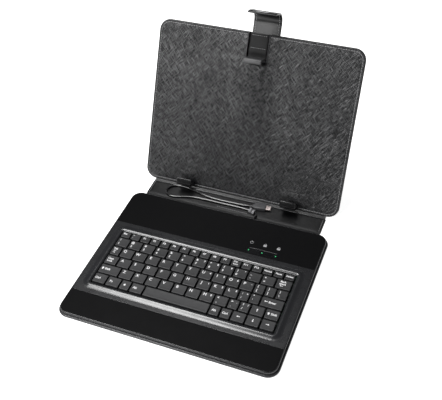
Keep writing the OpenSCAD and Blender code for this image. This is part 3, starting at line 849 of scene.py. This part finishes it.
# The marks of each key, upper|lower|right; ^ names a drawn shape
LEGENDS = {
    0: ["Esc", "~|`", "F1", "F2", "F3", "F4", "F5", "F6", "F7", "F8", "F9", "F10|ScrLk", "F11",
        "F12", "NumLk", "Pause", "Delete"],
    1: ["!|1", "@|2", "#|3", "$|4", "%|5", "^|6", "&|7|7", "*|8|8", "(|9|9", ")|0|*", "_|-", "+|=",
        "Back|space"],
    2: ["Tab", "Q", "W", "E", "R", "T", "Y", "U||4", "I||5", "O||6", "P||-", "{|[", "}|]", "||\\"],
    3: ["Caps|Lock", "A", "S", "D", "F", "G", "H", "J||1", "K||2", "L||3", ":|;|+", '"|\'', "Enter"],
    4: ["Shift", "Z", "X", "C", "V", "B", "N", "M||0", "<|,", ">|.|.", "?|/|/", "^up", "Shift"],
    5: ["Ctrl", "Fn", "^menu", "Alt", "", "Alt", "Ctrl", "^left", "^down", "^right"],
}


def key_place(r, k):
    """Centre, width and depth of a keycap."""
    x = -FIELD_W / 2 + sum(KEY_ROWS[r][:k]) + KEY_ROWS[r][k] / 2
    y = FIELD_BACK - (TOP_PITCH / 2 if r == 0 else TOP_PITCH + (r - 0.5) * ROW_PITCH)
    return x, y, KEY_ROWS[r][k] - KEY_GAP, (ROW_PITCH if r else TOP_PITCH) - KEY_GAP


def keycap(r, k):
    """A cap with drafted sides, soft edges and a faintly dished top."""
    x, y, w, d = key_place(r, k)
    foot = KEY_TOP - CAP_H
    profile = [(0.9, foot), (0, foot), (0, foot + 0.25), (0.22, KEY_TOP - 0.55)]
    profile += [(0.22 + i, z) for i, z in fillet(0, KEY_TOP, 0.45, 4)][1:]
    profile += [(1.4, KEY_TOP - 0.015), (2.6, KEY_TOP - 0.06), (4.0, KEY_TOP - 0.09)]
    cap = slab(f"cap_{r}_{k}", w, d, 1.0, y, profile, "key", steps=5)
    return shift(cap, x)


def flat_text(body, height, x, y):
    """Printed letters as a thin solid with its centre at x, y on the cap."""
    curve = bpy.data.curves.new("legend", "FONT")
    curve.body = body
    curve.size = height * 1.38
    curve.align_x = "CENTER"
    curve.align_y = "CENTER"
    curve.extrude = 0.02
    curve.offset = 0.09
    curve.resolution_u = 3
    text = placed("legend", curve)
    graph = bpy.context.evaluated_depsgraph_get()
    mesh = bpy.data.meshes.new_from_object(text.evaluated_get(graph))
    bpy.data.objects.remove(text)
    mesh.transform(Matrix.Scale(MM, 4) @ Matrix.Translation((x, y, KEY_TOP - 0.03)))
    mesh.materials.clear()
    mesh.materials.append(MATERIALS["ink"])
    return placed("legend", mesh)


def flat_shape(points, scale, x, y, turn=0):
    """A printed mark from an outline, as a thin solid."""
    n = len(points)
    verts = [(px * scale, py * scale, z) for z in (-0.05, -0.01) for px, py in points]
    faces = [tuple(reversed(range(n))), tuple(range(n, 2 * n))]
    faces += [(j, (j + 1) % n, n + (j + 1) % n, n + j) for j in range(n)]
    place = Matrix.Translation((x, y, KEY_TOP)) @ Matrix.Rotation(math.radians(turn), 4, "Z")
    return mesh_piece("mark", verts, faces, "ink", place)


ARROW = [(-2.0, 0), (-0.5, 1.1), (-0.5, 0.35), (2.0, 0.35), (2.0, -0.35), (-0.5, -0.35), (-0.5, -1.1)]
DIAMOND = [(0, 1.7), (-1.5, 0), (0, -1.7), (1.5, 0)]
SHIFT_ARROW = [(-1.9, 0), (-0.2, 1.7), (-0.2, 0.8), (1.6, 0.8), (1.6, -0.8), (-0.2, -0.8), (-0.2, -1.7)]


# Keys set one by one: each mark is text or an outline, mm from the cap's left edge and from its back
# edge, letter height or scale, and a turn in degrees
SPECIAL = {
    "": [],
    "~|`": [("~", 2.6, 2.2, 2.2), ("`", 2.4, 7.0, 2.6)],
    "F10|ScrLk": [("F10", 4.4, 2.4, 2.2), ("ScrLk", 5.4, 5.9, 1.8)],
    "Back|space": [("Back", 7.4, 3.0, 2.5), ("space", 7.4, 6.2, 2.5), (ARROW, 6.6, 9.2, 0.9)],
    "Tab": [("Tab", 4.4, 3.6, 2.5), (ARROW, 4.2, 6.6, 0.8), (ARROW, 4.4, 9.2, 0.8, 180)],
    "Caps|Lock": [("Caps", 5.8, 4.8, 2.6), ("Lock", 5.8, 8.4, 2.6)],
    "Enter": [(ARROW, 5.4, 6.0, 1), ("Enter", 12.8, 6.2, 2.8)],
    "Shift": [(SHIFT_ARROW, 3.6, 6.2, 1, -90), ("Shift", 9.6, 6.3, 2.8)],
    "^menu": [(DIAMOND, 4.8, 6.4, 1)],
    **{word: [(word, 4.9, 6.6, 2.9)] for word in ("Ctrl", "Fn", "Alt")},
    **{word: [(word, 5.6, 4.0, 2.2)] for word in ("NumLk", "Pause", "Delete")},
    **{word: [(ARROW, 7.2, 6.0, 1, turn)]
       for word, turn in (("^left", 0), ("^down", 90), ("^right", 180), ("^up", -90))},
}


def key_marks(r, k):
    """The printed marks of one key."""
    x, y, w, d = key_place(r, k)
    text = LEGENDS[r][k]
    made = []
    for what, across, down, size, *turn in SPECIAL[text] if text in SPECIAL else letters(r, text):
        draw = flat_text if isinstance(what, str) else flat_shape
        made.append(draw(what, size, x - w / 2 + across, y + d / 2 - down, *turn))
    return made


def letters(r, text):
    """One large letter, or a shifted mark over a plain one, and a small mark at the right."""
    if r == 0:
        return [(text, *TOP_ROW)]
    upper, lower, right = ("|", "\\", "") if text == "||\\" else (text.split("|") + ["", ""])[:3]
    made = [(upper, *UPPER), (lower, *LOWER)] if lower else [(upper, *ONE_LINE)]
    if right:
        narrow = text.startswith((":", ">", "?"))
        across = 8.8 if narrow else 11.4 if r == 4 else 12.3
        made.append((right, across, UPPER[1], 2.6))
    return made


def body_of_key(node):
    for name, nodes in frame["record"]["behaviour"]["bodies"].items():
        if node in nodes:
            return name
    raise KeyError(node)


def keyboard():
    for node, (r, first, last) in KEY_NODES.items():
        body = body_of_key(node)
        caps = join(node + "_caps", [keycap(r, k) for k in range(first, last + 1)])
        finish_piece(caps, body, "key_plastic", node)
        marks = [m for k in range(first, last + 1) for m in key_marks(r, k)]
        if marks:
            finish_piece(join(node + "_legends", marks), body, "key_plastic")


keyboard()


# ---------- spine ----------

SPINE_TOP = SPINE_HIGH[2]


def spine_panel():
    """Leather spine: soft-edged panel with gentle waves from folding."""
    x0, y0 = SPINE_LOW[:2]
    width, depth = SPINE_HIGH[0] - x0, SPINE_HIGH[1] - y0
    columns, rows = 60, 12

    def point_at(i, j):
        u, v = i / columns, j / rows
        edge = min(u, 1 - u) * width
        side = min(v, 1 - v) * depth
        drop = 0.5 * math.exp(-edge / 0.9) + 0.35 * math.exp(-side / 0.9)
        x = x0 + u * width
        wave = 0.07 * math.sin(x / 13) * math.sin(math.pi * v) + 0.05 * math.sin(x / 5.3 + 4 * v)
        return x, y0 + v * depth, SPINE_TOP - drop + wave * math.sin(math.pi * v)

    panel = mesh_piece("spine_leather", *sheet(columns, rows, point_at, 0.05), "spine")
    finish_piece(panel, "spine", "lining", "spine_lining", "spine_cover")


def up_z(_):
    return Vector((0, 0, 1))


def spine_seams():
    rows = []
    for x in (SPINE_LOW[0] + 2.6, SPINE_HIGH[0] - 2.6):
        path = [Vector((x, SPINE_LOW[1] + 1.5, SPINE_TOP)), Vector((x, SPINE_HIGH[1] - 1.5, SPINE_TOP))]
        rows.append(sewn("row", path, up_z, 3.0, 2.1, 0.3))
    path = [Vector((-20, 111.4, SPINE_TOP)), Vector((21, 110.6, SPINE_TOP))]
    rows.append(sewn("row", path, up_z, 2.6, 1.5, 0.34))
    finish_piece(join("spine_stitching", rows), "spine", "lining")


def spine_welt():
    """Turned seam along the crease at the foot of the lid."""
    points = []
    for i in range(81):
        x = -SPINE_HIGH[0] + 1 + (2 * SPINE_HIGH[0] - 2) * i / 80
        points.append(Vector((x, SPINE_HIGH[1] - 0.2 + 0.15 * math.sin(x / 17), SPINE_TOP + 0.1
                              + 0.08 * math.sin(x / 7))))
    welt = mesh_piece("spine_welt", *tube_mesh(points, 0.85, 12), "welt")
    finish_piece(welt, "spine", "lining")


def lid_fold():
    inner = [(131.2, 1.9), (132.6, 2.05), (133.7, 2.6), (134.5, 3.5), (135.4, 4.9)]
    outer = [(139.6, 4.4), (138.4, 2.6), (136.9, 1.1), (135, 0.35), (133, 0.1), (131.2, 0.05)]
    section = [(y, z, 0.6) for y, z in inner] + [(y, z, 0) for y, z in outer]
    fold_strip("lid_fold_leather", section, SPINE_HIGH[0] - 1,
               "spine")


spine_panel()
spine_seams()
spine_welt()
lid_fold()


# ---------- lid ----------

(CLIP_X, _, _), (CLIP_W, _, _) = span_mm("clip_right")
SLOT_W = 26.0
SLOT_Y = 172.6
REACH = 15.8
HOOK_T = 3.0
TONGUE_TOP = -1.3
TONGUE_FOOT = 176.2
TONGUE_SWELL = 182.5
TONGUE_SEAM = 187
CLIP_LIFT = 0.8
GUIDE_LIFT = 2.2
GUIDE_X = 6
GUIDE_HALF = 17


def lid_normal(_):
    return LID_FRAME.to_3x3() @ Vector((0, 0, 1))


def on_lid(points):
    return [LID_FRAME @ Vector(p) for p in points]


def lid_cover():
    """Outer cover of the lid: back, rounded edges and the band turned over to the front."""
    back = [(2.2, -LID_T), (1.0, -LID_T + 0.28), (0.3, -LID_T + 0.9), (0, -LID_T + 1.9)]
    front = [(0, -1.4), (0.2, -0.75), (0.65, -0.42), (1.3, -0.32), (6, -0.32)]
    cover = slab("lid_leather", LID_W, LID_H, LID_R, LID_H / 2, back + front, "outer", LID_FRAME, 16)
    cut = block("cut", (-SLOT_W / 2, SLOT_Y, -3.6), (SLOT_W / 2, LID_H + 3, 5))
    move_mm(cut, LID_FRAME)
    combine(cover, cut, "DIFFERENCE")
    finish_piece(cover, "lid", "outer_leather", "lid_cover")


def smooth_step(t):
    t = min(max(t, 0.0), 1.0)
    return t * t * (3 - 2 * t)


def relief(x, y):
    """Height of the lining over the parts under it, and its slow waves."""
    lift = 0.0
    for side in (-1, 1):
        dx = (x - side * CLIP_X) / 10
        dy = (y - 16) / 5.5
        lift += CLIP_LIFT * math.exp(-(dx * dx) ** 2 - dy * dy)
    dx = (x - GUIDE_X) / GUIDE_HALF
    rise = smooth_step((y - 62) / 88) * smooth_step((SLOT_Y - 1 - y) / 6)
    lift += GUIDE_LIFT * math.exp(-dx * dx) * rise
    return lift + 0.12 * math.sin(x / 23 + 1) * math.sin(y / 19)


def lid_lining():
    """Hatched lining: one sheet with its slot, the slits of the clips and soft relief."""
    inset = 1.0
    columns, rows = 220, 170
    w, h = LID_W + 4, LID_H + 4

    def point_at(i, j):
        x, y = -w / 2 + w * i / columns, -2 + h * j / rows
        edge = edge_distance(x, y, LID_W - 2 * inset, LID_H - 2 * inset, LID_R - inset)
        seam = 0.45 * math.exp(-((edge - 2.2) / 0.8) ** 2)
        roll = 0.25 * math.exp(-((edge - 0.9) / 0.7) ** 2) - 0.55 * math.exp(-max(edge, 0) / 0.45)
        return x, y, relief(x, y) + roll - seam

    lining = mesh_piece("lid_lining_sheet", *sheet(columns, rows, point_at, -0.9), "lining")
    shape = slab("shape", LID_W - 2 * inset, LID_H - 2 * inset, LID_R - inset, LID_H / 2,
                 [(0, -0.8), (0, 3)], "lining", steps=16)
    combine(shape, block("slot", (-SLOT_W / 2, SLOT_Y, -3), (SLOT_W / 2, LID_H + 3, 5)), "DIFFERENCE")
    for side in (-1, 1):
        x = side * CLIP_X
        slit = block("slit", (x - CLIP_W / 2 - 0.1, 2.9, -3), (x + CLIP_W / 2 + 0.1, 6.2, 5))
        combine(shape, slit, "DIFFERENCE")
    combine(lining, shape, "INTERSECT")
    move_mm(lining, LID_FRAME)
    finish_piece(lining, "lid", "lining", "lid_lining")


def slot_edges():
    """Turned edges of the lining down both sides and along the foot of the hook's slot."""
    half = SLOT_W / 2 + 0.25
    path = [(-half, LID_H - 1.5), (-half, SLOT_Y + 1), (-half + 1, SLOT_Y), (half - 1, SLOT_Y),
            (half, SLOT_Y + 1), (half, LID_H - 1.5)]
    line = []
    for a, b in zip(path, path[1:]):
        line += [Vector((a[0] + (b[0] - a[0]) * k / 6, a[1] + (b[1] - a[1]) * k / 6, 0.35))
                 for k in range(6)]
    line.append(Vector((*path[-1], 0.35)))
    roll = mesh_piece("slot_edges", *tube_mesh(line, 0.55, 10), "edge", LID_FRAME)
    finish_piece(roll, "lid", "lining")


def edge_distance(x, y, w, h, r):
    """Distance inside a rounded rectangle on the lid's centre, negative outside."""
    qx, qy = abs(x) - (w / 2 - r), abs(y - LID_H / 2) - (h / 2 - r)
    outside = math.hypot(max(qx, 0), max(qy, 0))
    return r - outside - min(max(qx, qy), 0)


def lid_stitching():
    """Thread all round the lining, broken at the slot."""
    ring = [(x, y, 0.02) for x, y in outline(LID_W - 6.4, LID_H - 6.4, LID_R - 3.2, LID_H / 2, 14)]
    start = next(i for i, p in enumerate(ring) if p[0] < -SLOT_W / 2)
    first = [(-SLOT_W / 2 - 1, LID_H - 3.2, 0.02)]
    last = [(SLOT_W / 2 + 1, LID_H - 3.2, 0.02)]
    path = on_lid(first + ring[start:] + ring[:start] + last)
    seam = sewn("lid_stitching", path, lid_normal, 3.1, 2.1, 0.34)
    finish_piece(seam, "lid", "lining")


def headings(line):
    """Direction of travel at each point of a line in a Y-Z plane."""
    made = []
    for i in range(len(line)):
        (ya, za), (yb, zb) = line[max(i - 1, 0)], line[min(i + 1, len(line) - 1)]
        length = math.hypot(yb - ya, zb - za)
        made.append(((yb - ya) / length, (zb - za) / length))
    return made


def bent_band(name, line, width, thick, cx, material, corner, ends, place=None):
    """A flat band swept along points of a Y-Z plane, with rounded edges and ends."""
    rings = []
    for i, ((y, z), (dy, dz)) in enumerate(zip(line, headings(line))):
        stations = [(0, 0)]
        end = ends[0] if i == 0 else ends[1]
        if i in (0, len(line) - 1) and end:
            turn = [math.radians(90 * k / 4) for k in range(5)]
            stations = [(end * (1 - math.sin(a)), end * (1 - math.cos(a))) for a in turn]
            if i:
                stations.reverse()
        for inset, back in stations:
            back *= 1 if i == 0 else -1
            ring = outline(width - 2 * inset, thick - 2 * inset, max(corner - inset, 0.03), 0, 4)
            rings.append([(cx + u, y + dy * back - dz * v, z + dz * back + dy * v)
                          for u, v in ring])
    return mesh_piece(name, *loft(rings), material, place, sharp=50)


def arc(cy, cz, r, a0, a1, steps=8):
    """Points round an arc of a Y-Z plane, angles in degrees."""
    return [(cy + r * math.cos(a), cz + r * math.sin(a))
            for a in (math.radians(a0 + (a1 - a0) * k / steps) for k in range(steps + 1))]


def clip_piece(side):
    """A lower clip: a foot under the lining, and a wall that turns into the lip."""
    node = "clip_right" if side > 0 else "clip_left"
    x = side * CLIP_X
    half = HOOK_T / 2
    line = [(3 + half, -1.7), (3 + half, 5)] + arc(3 + half + 1.9, REACH - half - 1.9, 1.9, 180, 90)
    line.append((12.5, REACH - half))
    lip = bent_band(node + "_lip", line, CLIP_W, HOOK_T, x, "clip", 0.6, (0.5, 0.5), LID_FRAME)
    profile = [(0.2, -1.7), (0, -1.5), (0, -0.95), (0.1, -0.85)]
    foot = slab(node + "_foot", CLIP_W, 17.5, 2, 12.7, profile, "clip")
    move_mm(foot, LID_FRAME @ Matrix.Translation((x, 0, 0)))
    finish_piece(join(node + "_moulding", [lip, foot]), "lid", "black_plastic", node)


def hook_pieces():
    """Sliding top hook: the moulded lip, and the leather tongue with its stitching."""
    w = span_mm("hook_lip")[1][0]
    y, half = 173 + HOOK_T / 2, HOOK_T / 2
    line = [(y, TONGUE_TOP - 0.8), (y, 5)] + arc(y - 1.9, REACH - half - 1.9, 1.9, 0, 90)
    line.append((170, REACH - half))
    hook = bent_band("top_hook_moulding", line, w, HOOK_T, 0, "hook", 0.7, (0.5, 0.5), LID_FRAME)
    finish_piece(hook, "hook", "grey_plastic", "hook_lip")
    columns, rows = 24, 40
    length = LID_H - 1 - TONGUE_FOOT

    def point_at(i, j):
        u, v = i / columns, j / rows
        y = TONGUE_FOOT + length * v
        side = min(u, 1 - u) * w
        z = TONGUE_TOP - 0.4 * math.exp(-side / 0.6) - 0.4 * math.exp(-(1 - v) * length / 0.6)
        z += 0.16 * math.sin(math.pi * u) - 0.3 * math.exp(-((y - TONGUE_SEAM) / 0.8) ** 2)
        reach = 6.5 if y > TONGUE_SWELL else 3.4
        z += 1.2 * math.exp(-((y - TONGUE_SWELL) / reach) ** 2)
        return -w / 2 + w * u, y, z

    tongue = mesh_piece("hook_tongue_leather", *sheet(columns, rows, point_at, TONGUE_TOP - 0.9),
                        "tongue", LID_FRAME)
    finish_piece(tongue, "hook", "outer_leather", "hook_leather")
    seams = []
    for y, z in ((TONGUE_SEAM, TONGUE_TOP + 0.55), (LID_H - 3, TONGUE_TOP)):
        path = [(-w / 2 + 1.6, y, z), (w / 2 - 1.6, y, z)]
        seams.append(sewn("seam", on_lid(path), lid_normal, 2.4, 1.7, 0.24))
    finish_piece(join("hook_stitching", seams), "hook", "outer_leather")


lid_cover()
lid_lining()
slot_edges()
lid_stitching()
clip_piece(-1)
clip_piece(1)
hook_pieces()


# ---------- strap ----------

(STRAP_X, _, _), (STRAP_W, _, _) = span_mm("strap_anchor")
STRAP_T = 2.2
STRAP_AXIS = (LID_H + 1.5, -LID_T - 1.1)
STRAP_BEND_R = 13.0
STRAP_RISE = 11.0
STRAP_REACH = 17.0
STRAP_CURL = 24.0


def strap_line():
    """Centreline of the strap in the lid's Y-Z plane: along the lid, up, round and forward."""
    y, z = STRAP_AXIS
    line = [(162 + (y - 162) * i / 16, z) for i in range(17)]
    line += [(y + STRAP_RISE * i / 6, z) for i in range(1, 7)]
    cy, cz = y + STRAP_RISE, z + STRAP_BEND_R
    line += [(cy + STRAP_BEND_R * math.sin(a), cz - STRAP_BEND_R * math.cos(a))
             for a in (math.radians(90 * i / 14) for i in range(1, 15))]
    line += [(cy + STRAP_BEND_R, cz + STRAP_REACH * i / 20) for i in range(1, 11)]
    y, z = line[-1]
    curl = STRAP_REACH / 2 / math.radians(STRAP_CURL)
    return line + [(y - curl * (1 - math.cos(a)), z + curl * math.sin(a))
                   for a in (math.radians(STRAP_CURL * i / 8) for i in range(1, 9))]


def strap_seam(name, line, side, face):
    """Stitches near one edge, on the inner (+1) or outer (-1) face."""
    points, normals = [], []
    for (y, z), (dy, dz) in zip(line, headings(line)):
        n = Vector((0, -dz, dy)) * face
        p = Vector((STRAP_X + side * (STRAP_W / 2 - 3), y, z)) + n * (STRAP_T / 2 * 0.97)
        points.append(LID_FRAME @ p)
        normals.append(LID_FRAME.to_3x3() @ n)

    def normal_at(point):
        nearest = min(range(len(points)), key=lambda i: (points[i] - point).length)
        return normals[nearest]

    return sewn(name, points, normal_at, 3.0, 2.0, 0.3)


def strap_pieces():
    line = strap_line()
    y, z = STRAP_AXIS
    cut = next(i for i, point in enumerate(line) if point[0] > y + STRAP_RISE * 0.8)
    lower, upper = line[:cut + 1], line[cut:]
    bend = math.radians(45)
    hinge = Vector((0, y + STRAP_RISE + STRAP_BEND_R * math.sin(bend),
                    z + STRAP_BEND_R * (1 - math.cos(bend))))
    along = Vector((0, math.cos(bend), math.sin(bend)))
    fold = (LID_FRAME @ Vector((0, y - 2.4, z)), LID_FRAME @ Vector((0, y + 2.4, z)))
    curl = (LID_FRAME @ (hinge - along * 3.5), LID_FRAME @ (hinge + along * 3.5))
    for name, part, bodies, span in (("strap_lower", lower, ("lid", "strap_lower"), fold),
                                     ("strap_upper", upper, ("strap_lower", "strap_end"), curl)):
        tip = name == "strap_upper"
        band = bent_band(name + "_leather", part, STRAP_W, STRAP_T, STRAP_X, "strap", 0.9,
                         (0, 1.0) if tip else (1.0, 0), LID_FRAME)
        trim = part[:-2] if tip else part
        seams = [strap_seam(f"{name}_{s}_{f}", trim, s, f) for s in (-1, 1) for f in (-1, 1)]
        seam = join(name + "_stitching", seams)
        for obj in (band, seam):
            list(bodies)
            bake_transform(obj)
        if tip:
            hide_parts("strap_front", "strap_rear")
        else:
            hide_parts("strap_anchor")


strap_pieces()


# ---------- rear leg ----------

LEG_W = 104.0
LEG_LEN = 105.2
LEG_T = 2.4
LEG_OPEN = 49.0
LEG_FRAME = (LID_FRAME @ Matrix.Translation((0, 110, -LID_T - 1.4))
             @ Matrix.Rotation(math.radians(LEG_OPEN), 4, "X"))


def leg_pieces():
    """Leather-covered leg with its stitching and the strip it folds on."""
    half, middle = LEG_T / 2, -LEG_LEN / 2 - 0.4
    profile = [(0.9, -half), (0.3, -half + 0.3), (0, -half + 0.9), (0, half - 0.9), (0.3, half - 0.3),
               (0.9, half)]
    leg = slab("leg_leather", LEG_W, LEG_LEN - 1.4, 10, middle, profile, "outer", LEG_FRAME, 10)
    finish_piece(leg, "leg", "outer_leather", "leg_board")
    seams = []
    for z in (-1, 1):
        ring = [LEG_FRAME @ Vector((x, y, z * LEG_T / 2))
                for x, y in outline(LEG_W - 6, LEG_LEN - 7.4, 7.5, middle, 8)]
        up = LEG_FRAME.to_3x3() @ Vector((0, 0, z))
        seams.append(sewn("seam", ring, lambda _, up=up: up, 3.2, 2.2, 0.26, closed=True))
    finish_piece(join("leg_stitching", seams), "leg", "outer_leather")
    flat = [(124, -LID_T - 0.55), (118, -LID_T - 0.6), (113, -LID_T - 0.9), (110.5, -LID_T - 1.2)]
    down = [LID_FRAME.inverted() @ (LEG_FRAME @ Vector((0, -d, 0.9))) for d in (3, 8, 13)]
    line = flat + [(p.y, p.z) for p in down]
    rings = [[(x, y, z - 0.55) for y, z in line] + [(x, y, z + 0.35) for y, z in reversed(line)]
             for x in [-LEG_W / 2 + 5 + (LEG_W - 10) * i / 24 for i in range(25)]]
    fold = mesh_piece("leg_fold_leather", *loft(rings), "outer", LID_FRAME, sharp=60)
    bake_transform(fold)


leg_pieces()


# ---------- inner parts that stay as the frame has them ----------

INNER = {
    "board": ("base_board", "spine_board", "lid_board"),
    "circuit": ("contact_sheet", "circuit_board"),
    "dome": ("dome_sheet",),
    "steel": ("tray_screws", "strap_plate", "clip_rivets", "hook_springs", "strap_magnet"),
    "clip": ("hook_guide", "hook_slider"),
}


def paint_inner():
    for material, nodes in INNER.items():
        for node in nodes:
            obj = frame["nodes"][node]
            obj.data.materials.clear()
            obj.data.materials.append(MATERIALS[material])


paint_inner()


# ---------- stage ----------

def stage():
    """Pale floor, lit from within so that it stays even."""
    mesh = bpy.data.meshes.new("floor")
    s = 6.0
    mesh.from_pydata([(-s, -s, 0), (s, -s, 0), (s, s, 0), (-s, s, 0)], [], [(0, 1, 2, 3)])
    floor = placed("floor", mesh)
    white = bpy.data.materials.new("floor_white")
    white.use_nodes = True
    bsdf = white.node_tree.nodes["Principled BSDF"]
    bsdf.inputs["Base Color"].default_value = (0.9, 0.9, 0.9, 1)
    bsdf.inputs["Roughness"].default_value = 0.9
    bsdf.inputs["Emission Color"].default_value = (1, 1, 1, 1)
    bsdf.inputs["Emission Strength"].default_value = 0.93
    mesh.materials.append(white)


def softbox(name, place, aim, size, power):
    data = bpy.data.lights.new(name, "AREA")
    data.shape = "RECTANGLE"
    data.size, data.size_y = size
    data.energy = power
    light = placed(name, data)
    direction = Vector(aim) - Vector(place)
    light.rotation_euler = direction.to_track_quat("-Z", "Y").to_euler()
    light.location = place


def lights():
    world = bpy.data.worlds.new("world")
    bpy.context.scene.world = world
    world.use_nodes = True
    world.node_tree.nodes["Background"].inputs["Color"].default_value = (1, 1, 1, 1)
    world.node_tree.nodes["Background"].inputs["Strength"].default_value = 0.07
    softbox("overhead", (-0.52, 0.2, 1.5), (0, 0, 0), (0.9, 0.5), 18)
    softbox("front_left", (-0.66, -1.1, 1.05), (0, 0.2, 0.1), (0.9, 0.4), 17)
    bpy.context.scene.view_settings.view_transform = "Standard"


stage()
lights()
